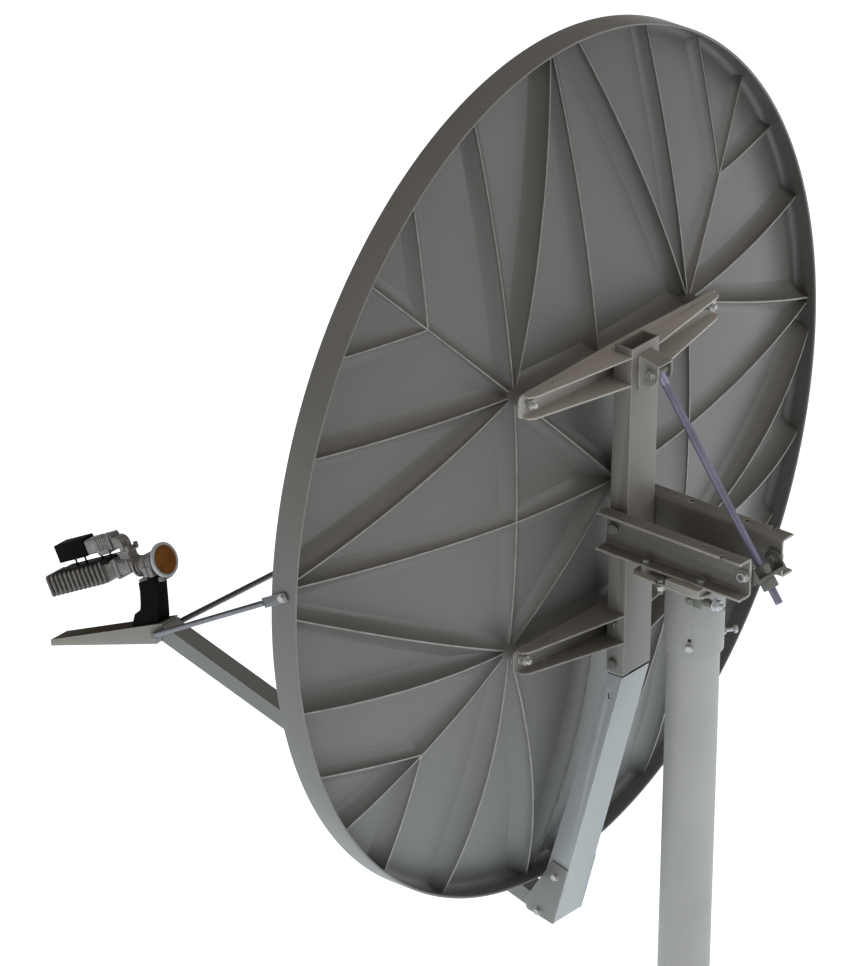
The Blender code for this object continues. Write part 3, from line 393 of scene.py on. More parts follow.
def link_in(name, mesh):
    item = bpy.data.objects.new(name, mesh)
    bpy.context.scene.collection.objects.link(item)
    return item


def evaluated(item, helpers=()):
    """Plain mesh of an object with its modifiers, which then goes with its helpers."""
    graph = bpy.context.evaluated_depsgraph_get()
    mesh = bpy.data.meshes.new_from_object(item.evaluated_get(graph))
    for used in (item, *helpers):
        bpy.data.objects.remove(used, do_unlink=True)
    return mesh


COATS = {}


def piece(name, mesh, coat, slot, body, stands_for=(), smooth=30.0):
    """Adds a finished piece that moves with a CAD body and stands for CAD nodes."""
    mesh.name = name
    if not mesh.materials:
        mesh.materials.append(COATS[coat])
    mesh.shade_smooth()
    mesh.set_sharp_from_angle(angle=math.radians(smooth))
    item = link_in(name, mesh)
    if stands_for:
        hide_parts(*stands_for)
    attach(item, body)
    return item


def body_of(node):
    return frame["nodes"][node]["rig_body"]


def dressed(node, name, coat, slot, holes=(), edge=None):
    """Stands in for a CAD node with its own shape: holes cut through and its edges rounded."""
    shape = bmesh.new()
    shape.from_mesh(frame["nodes"][node].data)
    bmesh.ops.remove_doubles(shape, verts=shape.verts, dist=0.00002)
    bmesh.ops.dissolve_limit(
        shape, angle_limit=math.radians(1.0), verts=shape.verts, edges=shape.edges)
    item = link_in("dressing", mesh_of(shape))
    item.data.materials.append(COATS[coat])
    cutters = []
    if holes:
        cutters.append(link_in("holes", merged(holes)))
        # The holes' walls take the near-black hole coat: painted shade inside them.
        for finish in (coat, "hole"):
            cutters[0].data.materials.append(COATS[finish])
        for face in cutters[0].data.polygons:
            face.material_index = 1
        item.data.materials.append(COATS["hole"])
        step = item.modifiers.new("holes", "BOOLEAN")
        step.operation = "DIFFERENCE"
        step.solver = "EXACT"
        step.object = cutters[0]
    rounding = item.modifiers.new("edges", "BEVEL")
    rounding.width = edge or bpy.context.scene.dish_sizes.sheet_edge
    rounding.segments = 2
    rounding.limit_method = "ANGLE"
    rounding.angle_limit = math.radians(35)
    return piece(name, evaluated(item, cutters), coat, slot, body_of(node), [node])


def drill(point, direction, radius, reach=0.012):
    """Cutter for a round hole through a wall at a point."""
    return lathe([(0, -reach), (radius, -reach), (radius, reach), (0, reach)], 20,
                 along(point, direction))


def slot_cutter(point, direction, radius, length, run, reach=0.012):
    """Cutter for a slot through a wall, its length along run."""
    half = length / 2 - radius
    outline = []
    for start, centre in ((-90, half), (90, -half)):
        for step in range(7):
            turn = math.radians(start + 30 * step)
            outline.append((centre + radius * math.cos(turn), radius * math.sin(turn)))
    return prism(outline, -reach, reach, along(point, direction, run))


class Nodes:
    """A node tree under construction."""

    def wire(self, source, socket):
        """Links a socket to a source, or sets it to a plain value."""
        if isinstance(source, bpy.types.NodeSocket):
            self.tree.links.new(source, socket)
        else:
            socket.default_value = source

    def add(self, kind, links=None, **settings):
        """Adds a node, sets its values and wires its inputs."""
        made = self.tree.nodes.new(kind)
        for key, value in settings.items():
            setattr(made, key, value)
        for key, source in (links or {}).items():
            self.wire(source, made.inputs[key])
        return made.outputs

    def maths(self, operation, first, second=0.0):
        return self.add("ShaderNodeMath", {0: first, 1: second}, operation=operation)[0]


class Tree(Nodes):
    """A geometry tree under construction; its last input is the finish."""

    def __init__(self, name, **inputs):
        self.tree = bpy.data.node_groups.new(name, "GeometryNodeTree")
        face = self.tree.interface
        face.new_socket("Geometry", in_out="INPUT", socket_type="NodeSocketGeometry")
        for label, kind in {**inputs, "Finish": "Material"}.items():
            face.new_socket(label, in_out="INPUT", socket_type="NodeSocket" + kind)
        face.new_socket("Geometry", in_out="OUTPUT", socket_type="NodeSocketGeometry")
        self.start = self.tree.nodes.new("NodeGroupInput").outputs
        self.end = self.tree.nodes.new("NodeGroupOutput").inputs

    def shape(self, label):
        return self.add("GeometryNodeObjectInfo", {"Object": self.start[label]})["Geometry"]

    def named(self, name, kind="FLOAT"):
        return self.add("GeometryNodeInputNamedAttribute", {"Name": name}, data_type=kind)["Attribute"]

    def swept(self, section, curve=None):
        """Carries a section along a curve, or along the tree's own path with its first axis on +Y."""
        if curve is None:
            path = self.add("GeometryNodeMeshToCurve", {"Mesh": self.start["Geometry"]})
            held = self.add("GeometryNodeSetCurveNormal", {
                "Curve": path[0], "Normal": (0.0, 1.0, 0.0)}, mode="FREE")
        else:
            held = self.add("GeometryNodeSetCurveNormal", {"Curve": curve}, mode="Z_UP")
        outline = self.add("GeometryNodeMeshToCurve", {"Mesh": self.shape(section)})
        return self.add("GeometryNodeCurveToMesh", {
            "Curve": held[0], "Profile Curve": outline[0], "Fill Caps": True})[0]

    def placed(self, points, shape, **links):
        return self.add("GeometryNodeInstanceOnPoints", {
            "Points": points, "Instance": self.shape(shape), **links})["Instances"]

    def close(self, geometry):
        """Ends the tree: instances made real, the finish set."""
        real = self.add("GeometryNodeRealizeInstances", {"Geometry": geometry})
        coated = self.add("GeometryNodeSetMaterial", {
            "Geometry": real[0], "Material": self.start["Finish"]})
        self.tree.links.new(coated[0], self.end[0])
        return self.tree


def grown(tree, mesh, coat, values):
    """Plain mesh that a geometry tree makes from a mesh and its named inputs, helper meshes among them."""
    values = {**values, "Finish": COATS[coat]}
    helpers = []
    for label, value in values.items():
        if isinstance(value, bpy.types.Mesh):
            values[label] = link_in("helper", value)
            helpers.append(values[label])
    item = link_in("growing", mesh)
    step = item.modifiers.new("growth", "NODES")
    step.node_group = tree
    for socket in tree.interface.items_tree:
        if socket.in_out == "INPUT" and socket.name in values:
            step[socket.identifier] = values[socket.name]
    return evaluated(item, helpers)


def point_mesh(points, edges=(), **attributes):
    """Mesh of points and edges that carries named values for a geometry tree."""
    mesh = bpy.data.meshes.new("points")
    mesh.from_pydata([tuple(p) for p in points], list(edges), [])
    for name, values in attributes.items():
        if isinstance(values[0], (int, float)):
            data = mesh.attributes.new(name, "FLOAT", "POINT").data
            data.foreach_set("value", values)
        else:
            data = mesh.attributes.new(name, "FLOAT_VECTOR", "POINT").data
            data.foreach_set("vector", [c for v in values for c in v])
    return mesh


def loop_mesh(points, **attributes):
    """Mesh of points on a closed line."""
    edges = [(index, (index + 1) % len(points)) for index in range(len(points))]
    return point_mesh(points, edges, **attributes)


def fastener_tree():
    """Sets one fastener on each point, aimed and sized by the point's own values."""
    tree = Tree("fasteners", Fastener="Object")
    turn = tree.add("FunctionNodeAlignRotationToVector", {
        "Vector": tree.named("aim", "FLOAT_VECTOR")}, axis="Z")
    return tree.close(tree.placed(
        tree.start["Geometry"], "Fastener", Rotation=turn["Rotation"], Scale=tree.named("size")))


def row_tree():
    """Repeats a shape in a row at even steps."""
    tree = Tree("row", Shape="Object", Count="Int", Step="Vector")
    line = tree.add("GeometryNodeMeshLine", {
        "Count": tree.start["Count"], "Offset": tree.start["Step"]}, mode="OFFSET")
    return tree.close(tree.placed(line[0], "Shape"))


def sweep_tree():
    """Carries a section along a path, its first axis held along +Y."""
    tree = Tree("sweep", Section="Object")
    return tree.close(tree.swept("Section"))


def rib_tree():
    """Carries the ribs' section along their paths and lays its foot on the shell's back."""
    tree = Tree("ribs", **{
        "Section": "Object", "Shell": "Object", "Half Width": "Float", "Half Height": "Float",
        "Centre Height": "Float", "Sink": "Float"})
    maths, start = tree.maths, tree.start
    swept = tree.swept("Section")
    spot = tree.add("ShaderNodeSeparateXYZ", {0: tree.add("GeometryNodeInputPosition")[0]})
    rise = maths("SUBTRACT", spot["Z"], start["Centre Height"])
    across = maths("DIVIDE", spot["X"], start["Half Width"])
    up = maths("DIVIDE", rise, start["Half Height"])
    reach = maths("SQRT", maths("ADD", maths("MULTIPLY", across, across), maths("MULTIPLY", up, up)))
    keep = maths("DIVIDE", 1.0, maths("MAXIMUM", reach, 1.0))
    x = maths("MULTIPLY", spot["X"], keep)
    z = maths("ADD", maths("MULTIPLY", rise, keep), start["Centre Height"])
    above = tree.add("ShaderNodeCombineXYZ", {"X": x, "Y": 1.0, "Z": z})
    hit = tree.add("GeometryNodeRaycast", {
        "Target Geometry": tree.shape("Shell"), "Source Position": above[0],
        "Ray Direction": (0.0, -1.0, 0.0), "Ray Length": 4.0})
    ground = tree.add("ShaderNodeSeparateXYZ", {0: hit["Hit Position"]})
    raised = maths("MULTIPLY", tree.named("lift"), tree.named("height"))
    y = maths("ADD", maths("SUBTRACT", ground["Y"], start["Sink"]), raised)
    place = tree.add("ShaderNodeCombineXYZ", {"X": x, "Y": y, "Z": z})
    laid = tree.add("GeometryNodeSetPosition", {"Geometry": swept, "Position": place[0]})
    return tree.close(laid[0])


def thread_tree():
    """Winds a thread's ridge round a bar that runs up Z."""
    tree = Tree("thread", Ridge="Object", Length="Float", Pitch="Float", Radius="Float")
    length, radius = tree.start["Length"], tree.start["Radius"]
    helix = tree.add("GeometryNodeCurveSpiral", {
        "Resolution": 18, "Rotations": tree.maths("DIVIDE", length, tree.start["Pitch"]),
        "Start Radius": radius, "End Radius": radius, "Height": length})
    swept = tree.swept("Ridge", helix[0])
    both = tree.add("GeometryNodeJoinGeometry")
    for source in (swept, tree.start["Geometry"]):
        tree.tree.links.new(source, both[0].node.inputs[0])
    return tree.close(both[0])


def row(shape, count, step, coat):
    """Mesh of a shape repeated at even steps."""
    return grown(row_tree(), bpy.data.meshes.new("none"), coat, {
        "Shape": shape, "Count": count, "Step": step})


def washer_shape():
    return lathe([(0, 0), (1.10, 0), (1.10, 0.119), (1.04, 0.17), (0, 0.17)], 16)


def bolt_shape():
    """Hexagon head on a washer, for a thread of diameter 1."""
    flats = hexagon(12, 0.92)
    head = lofted([ring_points(12, reach, height) for reach, height in (
        (flats, 0.15), (flats, 0.72), (0.76, 0.82))], capped=True)
    return merged([washer_shape(), head])


def stud_shape():
    """Nut on a washer with the thread's end standing out, for a thread of diameter 1."""
    flats = hexagon(12, 0.92)
    nut = lofted([ring_points(12, reach, height) for reach, height in (
        (0.78, 0.15), (flats, 0.24), (flats, 0.88), (0.78, 0.98))], capped=True)
    profile = [(0, 0.9)]
    for turn in range(6):
        level = 0.95 + 0.13 * turn
        profile += [(0.44, level), (0.50, level + 0.065)]
    profile += [(0.44, 1.75), (0.36, 1.80), (0, 1.80)]
    return merged([washer_shape(), nut, lathe(profile, 12)])


def screw_shape():
    """Low round head with a drive recess, for a thread of diameter 1."""
    return lathe([(0, 0), (0.95, 0), (0.95, 0.25), (0.75, 0.5), (0.36, 0.6), (0.32, 0.42), (0, 0.42)], 14)


def fasteners(name, shape, spots, coat, body, size):
    """One piece of like fasteners, from spots of (place, aim) and a thread size."""
    tree = bpy.data.node_groups.get("fasteners") or fastener_tree()
    points = point_mesh(
        [place for place, _ in spots], aim=[aim.normalized() for _, aim in spots],
        size=[float(size)] * len(spots))
    return piece(name, grown(tree, points, coat, {"Fastener": shape}), coat, "zinc_steel", body)


def outward(*points):
    """Spots at points and at their images on the other side, aimed away from the middle."""
    return [(Vector((way * x, y, z)), LEFT * way) for way in SIDES for x, y, z in points]


def on_collar(turn, rise, sink=0.0):
    """Place on the collar at an angle and a height over the dish's centre, and the way out."""
    out = Vector((math.cos(math.radians(turn)), math.sin(math.radians(turn)), 0))
    return out * (COLLAR_HIGH.x - sink) + UP * (CENTRE_Z + rise), out


def shade(colour, *factors):
    """A colour times one factor, or one for each channel."""
    factors = factors if len(factors) > 1 else factors * 3
    return tuple(min(1.0, value * factor) for value, factor in zip(colour, factors))


class Coat(Nodes):
    """A procedural finish under construction, on the piece's own Object coordinates."""

    def __init__(self, name, colour, roughness, metallic=0.0):
        self.made = bpy.data.materials.new(name)
        self.made.use_nodes = True
        self.tree = self.made.node_tree
        self.shader = self.tree.nodes["Principled BSDF"].inputs
        self.shader["Roughness"].default_value = roughness
        self.shader["Metallic"].default_value = metallic
        self.place = self.add("ShaderNodeTexCoord")
        self.colour = colour
        self.base = self.height = None

    def noise(self, scale, detail=4.0, stretch=(1.0, 1.0, 1.0)):
        laid = self.add("ShaderNodeMapping", {"Vector": self.place["Object"], "Scale": stretch})
        return self.add("ShaderNodeTexNoise", {"Vector": laid[0], "Scale": scale, "Detail": detail})["Fac"]

    def ramp(self, value, low, high, first=0.0, last=1.0):
        """A value stretched so that low gives the first result and high the last."""
        return self.add("ShaderNodeMapRange", {
            "Value": value, "From Min": low, "From Max": high, "To Min": first, "To Max": last})[0]

    def blend(self, share, first, second):
        """Makes the base a colour between two by share."""
        mixed = self.tree.nodes.new("ShaderNodeMix")
        mixed.data_type = "RGBA"
        sockets = [s for s in mixed.inputs if s.enabled]
        for socket, source in zip(sockets, (share, first, second)):
            self.wire((*source, 1.0) if isinstance(source, tuple) else source, socket)
        self.base = [s for s in mixed.outputs if s.enabled][0]

    def mottle(self, share, dark, pale):
        """Starts the base between two shades of the colour."""
        self.blend(share, shade(self.colour, dark), shade(self.colour, pale))

    def layer(self, share, *factors):
        """Lays another shade of the colour over the base by share."""
        self.blend(share, self.base, shade(self.colour, *factors))

    def edges(self, radius, low=0.02, high=0.16):
        """Share of an edge near a point, from how far a rounded normal leans from the flat one."""
        flat = self.add("ShaderNodeNewGeometry")["True Normal"]
        smooth = self.add("ShaderNodeBevel", {"Radius": radius}, samples=4)[0]
        lean = self.add("ShaderNodeVectorMath", {0: flat, 1: smooth}, operation="DOT_PRODUCT")["Value"]
        return self.ramp(lean, 1.0 - low, 1.0 - high)

    def rub_and_highlight(self, radius, share, factor):
        """Brightens the edges: partly wear, partly a painted highlight."""
        self.layer(self.maths("MULTIPLY", self.edges(radius), share), factor)

    def bump(self, height, distance, strength):
        settings = {"Height": height, "Distance": distance, "Strength": strength}
        if self.height is not None:
            settings["Normal"] = self.height
        self.height = self.add("ShaderNodeBump", settings)["Normal"]

    def close(self, roughness=None):
        for name, source in (
                ("Base Color", self.base), ("Roughness", roughness), ("Normal", self.height)):
            if source is not None:
                self.tree.links.new(source, self.shader[name])
        return self.made


def painted(name, colour, roughness=0.45, wear_and_highlight=1.5, streak=0.12, crest=False, height_shade=None, top_shade=None,
            reach=0.002):
    """Coat of paint: mottled, faintly streaked downwards, chalky and brightened as a painted highlight on its
    edges.

    The height shading is (foot, top, share): painted light, bluish as a painted reflection at its foot
    and darker by share as painted shade at its top. The top shading is (share, low, high): painted
    shade, tinted brown, by share on what faces up, coming in between two slopes. reach is how far
    from an edge the chalk and the painted highlight start.
    """
    coat = Coat(name, colour, roughness)
    cloud = coat.noise(3.2, 6.0)
    coat.mottle(coat.ramp(cloud, 0.3, 0.7), 0.90, 1.08)
    coat.layer(coat.ramp(coat.noise(14.0, 5.0, (1.0, 1.0, 0.12)), 0.52, 0.74, 0.0, streak), 0.55)
    coat.layer(coat.ramp(coat.noise(160.0, 2.0), 0.62, 0.74, 0.0, 0.35), 0.72)
    edge = coat.edges(reach)
    # Painted highlight on the ribs' crests, where the section's lift nears its top; it joins the edges'
    # brightening.
    if crest:
        lift = coat.add("ShaderNodeAttribute", attribute_name="lift")["Fac"]
        edge = coat.maths("MAXIMUM", edge, coat.ramp(lift, 0.97, 1.0))
    # Painted light by height: a bluish painted reflection towards the foot; the painted shade towards the top
    # is laid after the edges.
    if height_shade is not None:
        foot, top, dark = height_shade
        tall = coat.add("ShaderNodeSeparateXYZ", {0: coat.place["Object"]})["Z"]
        coat.layer(coat.ramp(tall, foot - 0.35, (foot + top) / 2, 0.8, 0.0), 1.02, 1.14, 1.24)
    # Painted shade, tinted brown, on what faces up; the specular is turned off as well.
    if top_shade is not None:
        share, low, high = top_shade
        coat.shader["Specular IOR Level"].default_value = 0.0
        facing = coat.add("ShaderNodeSeparateXYZ", {0: coat.place["Normal"]})["Z"]
        coat.layer(coat.ramp(facing, low, high, 0.0, share), 0.17, 0.13, 0.10)
    # Edges brightened by the factor given: chalky wear and a painted highlight.
    coat.layer(
        coat.maths("MULTIPLY", edge, coat.ramp(coat.noise(38.0, 3.0), 0.30, 0.62, 0.35, 1.0)), wear_and_highlight)
    # Painted shade: darker towards the top, over the edges too.
    if height_shade is not None:
        coat.layer(coat.ramp(tall, foot, top, 0.0, dark), 0.08)
    coat.bump(coat.noise(420.0, 2.0), 0.0004, 0.12)
    coat.bump(coat.noise(22.0, 3.0), 0.002, 0.05)
    return coat.close(coat.ramp(cloud, 0.3, 0.7, roughness - 0.06, roughness + 0.08))


def galvanised(name, colour, roughness=0.42, spangle=34.0, metallic=0.75):
    """Zinc: crystals of slightly different brightness under a dull bloom."""
    coat = Coat(name, colour, roughness, metallic)
    cells = coat.add(
        "ShaderNodeTexVoronoi", {"Vector": coat.place["Object"], "Scale": spangle}, feature="F1")
    grey = coat.add("ShaderNodeSeparateColor", {"Color": cells["Color"]})["Red"]
    coat.mottle(coat.ramp(grey, 0.0, 1.0), 0.88, 1.08)
    coat.layer(coat.ramp(coat.noise(7.0, 6.0), 0.48, 0.72, 0.0, 0.45), 1.18)
    coat.layer(coat.ramp(coat.noise(26.0), 0.58, 0.8, 0.0, 0.5), 0.5)
    # Edges brightened: wear and a painted highlight.
    coat.rub_and_highlight(0.0012, 0.6, 1.5)
    coat.bump(coat.noise(300.0, 2.0), 0.0003, 0.15)
    return coat.close(coat.ramp(grey, 0.0, 1.0, roughness - 0.08, roughness + 0.1))


def tinted_rod(name, colour):
    """Plated threaded bar: violet and straw tints over steel, dark in the thread's roots."""
    coat = Coat(name, colour, 0.36, 0.55)
    coat.mottle(coat.ramp(coat.noise(9.0), 0.35, 0.65), 0.85, 1.2)
    coat.layer(coat.ramp(coat.noise(31.0, 3.0), 0.55, 0.75, 0.0, 0.5), 1.25, 1.15, 0.75)
    # Edges and thread crests brightened: wear and a painted highlight.
    coat.rub_and_highlight(0.0006, 0.7, 1.7)
    coat.bump(coat.noise(500.0, 2.0), 0.0002, 0.1)
    return coat.close()


def cast_alloy(name, colour, roughness=0.5, metallic=0.55):
    """Sand-cast alloy: pitted skin, darker in its hollows and brighter on its edges."""
    coat = Coat(name, colour, roughness, metallic)
    patch = coat.noise(18.0, 5.0)
    coat.mottle(coat.ramp(patch, 0.35, 0.65), 0.8, 1.1)
    coat.layer(coat.ramp(coat.noise(95.0), 0.48, 0.62, 0.0, 0.55), 1.5)
    pits = coat.noise(240.0, 3.0)
    coat.layer(coat.ramp(pits, 0.60, 0.72, 0.0, 0.6), 0.5)
    # Edges brightened: wear and a painted highlight.
    coat.rub_and_highlight(0.0014, 0.9, 2.3)
    coat.bump(pits, 0.0005, 0.35)
    return coat.close(coat.ramp(patch, 0.3, 0.7, roughness - 0.08, roughness + 0.1))


def moulded(name, colour, roughness=0.7):
    """Moulded plastic: fine leather-like grain, dusty in patches, its proud edges brighter from wear and a
    painted highlight.
    """
    coat = Coat(name, colour, roughness)
    coat.shader["Specular IOR Level"].default_value = 0.05
    coat.shader["IOR"].default_value = 1.2
    dust = coat.noise(12.0, 5.0)
    coat.mottle(coat.ramp(dust, 0.45, 0.75, 0.0, 0.5), 0.7, 1.6)
    # Edges brightened: wear and a painted highlight.
    coat.rub_and_highlight(0.0012, 0.5, 4.0)
    coat.bump(coat.noise(360.0, 3.0), 0.0004, 0.3)
    return coat.close(coat.ramp(dust, 0.4, 0.7, roughness - 0.1, roughness + 0.1))


def film(name, colour):
    """Stretched film over the horn's mouth, its colour and gloss slightly uneven."""
    coat = Coat(name, colour, 0.3)
    coat.shader["Specular IOR Level"].default_value = 0.22
    cloud = coat.noise(30.0)
    coat.mottle(coat.ramp(cloud, 0.35, 0.65), 0.8, 1.25)
    coat.bump(coat.noise(60.0, 2.0), 0.0006, 0.2)
    return coat.close(coat.ramp(cloud, 0.3, 0.7, 0.22, 0.42))


def dish_y(x, z):
    """Front surface of the reflector: a paraboloid whose axis rises by the dish's tilt."""
    sine, cosine = math.sin(DISH_TILT), math.cos(DISH_TILT)
    offset = 2 * FOCAL_LENGTH * sine / cosine
    out = offset + (z - CENTRE_Z) * cosine
    ahead = (offset ** 2 + DISH_HALF_WIDTH ** 2) / (4 * FOCAL_LENGTH) + (z - CENTRE_Z) * sine
    a = sine ** 2
    b = 2 * sine * out + 4 * FOCAL_LENGTH * cosine
    c = x * x + out ** 2 - 4 * FOCAL_LENGTH * ahead
    return RIM_FRONT_Y + (math.sqrt(b * b - 4 * a * c) - b) / (2 * a)


def rim_point(angle, inset=0.0):
    turn = math.radians(angle)
    return Vector((
        (DISH_HALF_WIDTH - inset) * math.cos(turn), CENTRE_Z + (DISH_HALF_HEIGHT - inset) * math.sin(turn)))


def shell_skin(fillet, steps, segments):
    """Mesh of the bowl; its back turns up into the rim by a fillet."""
    inset = RIM_WALL - 0.001

    def ring(share, back):
        points = []
        for step in range(segments if share else 1):
            turn = 2 * math.pi * step / segments
            x = share * (DISH_HALF_WIDTH - inset) * math.cos(turn)
            z = CENTRE_Z + share * (DISH_HALF_HEIGHT - inset) * math.sin(turn)
            y = dish_y(x, z)
            if back:
                near = (1.0 - share) * (DISH_HALF_WIDTH + DISH_HALF_HEIGHT) / 2
                short = max(0.0, fillet - near)
                y += SHELL_WALL + fillet - math.sqrt(max(0.0, fillet ** 2 - short ** 2))
            points.append((x, y, z))
        return points

    shares = [1.0 - (1.0 - step / steps) ** 1.6 for step in range(steps + 1)]
    front = [ring(share, False) for share in shares]
    return lofted(front + [ring(share, True) for share in reversed(shares)])


def rib_height(heights, share):
    start, half, end = heights
    return start + share * (4 * half - 3 * start - end) + share ** 2 * 2 * (start + end - 2 * half)


def rib_lines():
    """The ribs as (start, end, heights) seen square to the rim."""
    lines = []
    centre = Vector((0.0, MIDDLE_Z))
    for side in SIDES:
        def rim(angle):
            point = rim_point(angle, RIM_WALL)
            return Vector((side * point.x, point.y))

        for hub_z, up, height, ribs, forks in (
                (UPPER_HUB_Z, 1, UPPER_HUB_RIB, UPPER_RIBS, UPPER_FORKS),
                (LOWER_HUB_Z, -1, LOWER_HUB_RIB, LOWER_RIBS, LOWER_FORKS)):
            hub = Vector((side * HUB_X, hub_z))
            for angle, half, end in ribs:
                lines.append((hub, rim(up * angle), (height, half, end)))
            angle, half, end = ribs[FORKED_RIB]
            fork = hub + (rim(up * angle) - hub) * FORK_SHARE
            start = rib_height((height, half, end), FORK_SHARE) - 0.001
            for branch, tip in forks:
                lines.append((fork, rim(up * branch), (start, (start + tip) / 2, tip)))
            lines.append((hub, centre, (height, (height + MIDDLE_RIB) / 2, MIDDLE_RIB)))
        low, high = Vector((side * HUB_X, LOWER_HUB_Z)), Vector((side * HUB_X, UPPER_HUB_Z))
        lines.append((low, high, (LOWER_HUB_RIB, SIDE_UPRIGHT_RIB, UPPER_HUB_RIB)))
        cross = Vector((side * HUB_X, MIDDLE_Z))
        angle, start, half, end = SIDE_RIB
        lines.append((centre, cross, (MIDDLE_RIB, (MIDDLE_RIB + start) / 2, start)))
        lines.append((cross, rim(angle), (start, half, end)))
    for hub_z, up, height in ((UPPER_HUB_Z, 1, UPPER_HUB_RIB), (LOWER_HUB_Z, -1, LOWER_HUB_RIB)):
        lines.append((Vector((-HUB_X, hub_z)), Vector((HUB_X, hub_z)), (height, LEVEL_RIB, height)))
        end = rim_point(up * UPRIGHT_ANGLE, RIM_WALL)
        lines.append((Vector((UPRIGHT_X, hub_z)), end, (UPRIGHT_HEIGHT,) * 3))
    return lines


def path_mesh():
    """The ribs' lines as one mesh of edges, laid flat on the plane y = 0."""
    points, edges, heights = [], [], []
    for start, end, rise in rib_lines():
        for step in range(RIB_STEPS + 1):
            share = step / RIB_STEPS
            spot = start + (end - start) * share
            if step:
                edges.append((len(points) - 1, len(points)))
            points.append((spot.x, 0.0, spot.y))
            heights.append(rib_height(rise, share))
    return point_mesh(points, edges, height=heights)


def rib_section(crest, fillet):
    """Half of it is a concave foot, a drafted side and a rounded crest; the other half mirrors it."""
    half = []
    for turn in range(0, 91, 15):
        angle, share = math.radians(turn), turn / 90
        across = 0.6 * (1 - math.sin(angle)) + 0.4 * (1 - share)
        rise = 0.6 * (1 - math.cos(angle)) + 0.4 * share
        half.append((crest / 2 + 0.0011 + fillet * across, RIB_FOOT_SHARE * rise))
    half += [(crest / 2 + 0.0002, 0.985), (crest / 2 - 0.0004, 1.0)]
    points = half + [(-across, lift) for across, lift in reversed(half)]
    return loop_mesh([(0.0, across, 0.0) for across, _ in points], lift=[lift for _, lift in points])


class DISH_OT_finishes(bpy.types.Operator):
    """Mix the coats and metals, and coat the CAD nodes that stay in view"""

    bl_idname = "dish.finishes"
    bl_label = "Finishes"

    def execute(self, context):
        tones = context.scene.dish_colours
        # Painted light by height (foot, top, share): a bluish painted reflection low down and painted shade
        # high up, none on the mount, strongest on the bowl and its ribs.
        foot, top = CENTRE_Z - 0.75, RIM_HIGH.z
        mount_height_shade = (CENTRE_Z - 0.45, CENTRE_Z + 0.2, 0.0)
        for key, name, tone, values, extras in (
                ("reflector", "reflector_coat", tones.reflector, (0.42, 2.4, 0.10),
                 {"height_shade": (foot, top, 0.10)}),
                ("bowl", "bowl_coat", tones.reflector, (0.42, 2.2, 0.10, True), {"height_shade": (foot, top, 0.52)}),
                # Painted shade: the walls of cut holes take the near-black shadow colour.
                ("hole", "hole_shade_wall", tones.shadow, (0.6, 1.2), {}),
                ("mount", "mount_coat", tones.mount, (0.46, 2.9, 0.16), {"height_shade": mount_height_shade}),
                # The yoke's copy of the mount coat brightens its edges further: wear and painted highlight.
                ("yoke", "yoke_coat", shade(tones.mount, 0.82), (0.46, 5.4, 0.2), {"reach": 0.003}),
                # Painted light and shade: the upper cross channel takes a lighter copy of the mount coat, the
                # lower a darker one.
                ("upper", "upper_beam_lit_coat", shade(tones.mount, 1.75), (0.46, 1.5, 0.16), {}),
                ("lower", "lower_beam_shaded_coat", shade(tones.mount, 0.85), (0.46, 2.9, 0.16), {}),
                ("strut", "strut_coat", tones.strut, (0.46, 1.8, 0.14), {}),
                # The tray carries painted shade, tinted brown, on what faces up.
                ("tray", "tray_coat", tones.tray, (0.5, 1.6, 0.10), {"top_shade": (0.92, 0.2, 0.6)}),
                # Painted light: the head plate and packing bars take a lighter copy of the mount coat where
                # they sit in shade, with edges brightened as wear and painted highlight.
                ("plate", "plate_lit_coat", shade(tones.mount, 1.6), (0.46, 3.6, 0.4), {"reach": 0.0025}),
                ("mast", "mast_coat", tones.mast, (0.5, 1.5, 0.10), {}),
                # Painted shade: the collar takes a darker copy of the mast coat.
                ("collar", "collar_shaded_coat", shade(tones.mast, 0.85), (0.5, 1.7, 0.14), {}),
                # The stays carry painted shade, tinted brown, on their upper sides.
                ("stay", "stay_steel", tones.stay, (0.5, 1.6, 0.3), {"top_shade": (0.85, -0.1, 0.3)}),
                ("horn", "horn_paint", tones.horn, (0.35, 1.3, 0.05), {})):
            COATS[key] = painted(name, tone, *values, **extras)
        COATS.update({
            "zinc": galvanised("zinc_plate", tones.zinc),
            # Darker zinc: partly weathering, partly painted shade.
            "dull": galvanised("dull_shaded_zinc", tones.dull, 0.5, 60.0, 0.35),
            # Brighter zinc: painted highlight.
            "bright": galvanised("highlit_zinc", tones.bright, 0.34, 60.0, 0.45),
            "saddle": galvanised("saddle_steel", tones.saddle, 0.5, 50.0, 0.3),
            "rod": tinted_rod("rod_plating", tones.rod),
            # Painted shade: the core between the fins is a much darker copy of the casing.
            "core": cast_alloy("casing_shade_core", shade(tones.casing, 0.3), 0.65, 0.1),
            "cast": cast_alloy("cast_alloy", tones.cast),
            "casing": cast_alloy("casing_paint", tones.casing, 0.55, 0.15),
            "plastic": moulded("black_moulding", tones.plastic),
            # The dark cover paints the shade on the top of the fins.
            "cover": moulded("shade_cover_moulding", tones.shadow),
            "window": film("window_film", tones.window)})
        kept = {"mast_pipe": "mast", "feed_boom": "mount", "horn_window": "window"}
        for node, coat in kept.items():
            for slot in frame["nodes"][node].material_slots:
                slot.material = COATS[coat]
        return {"FINISHED"}


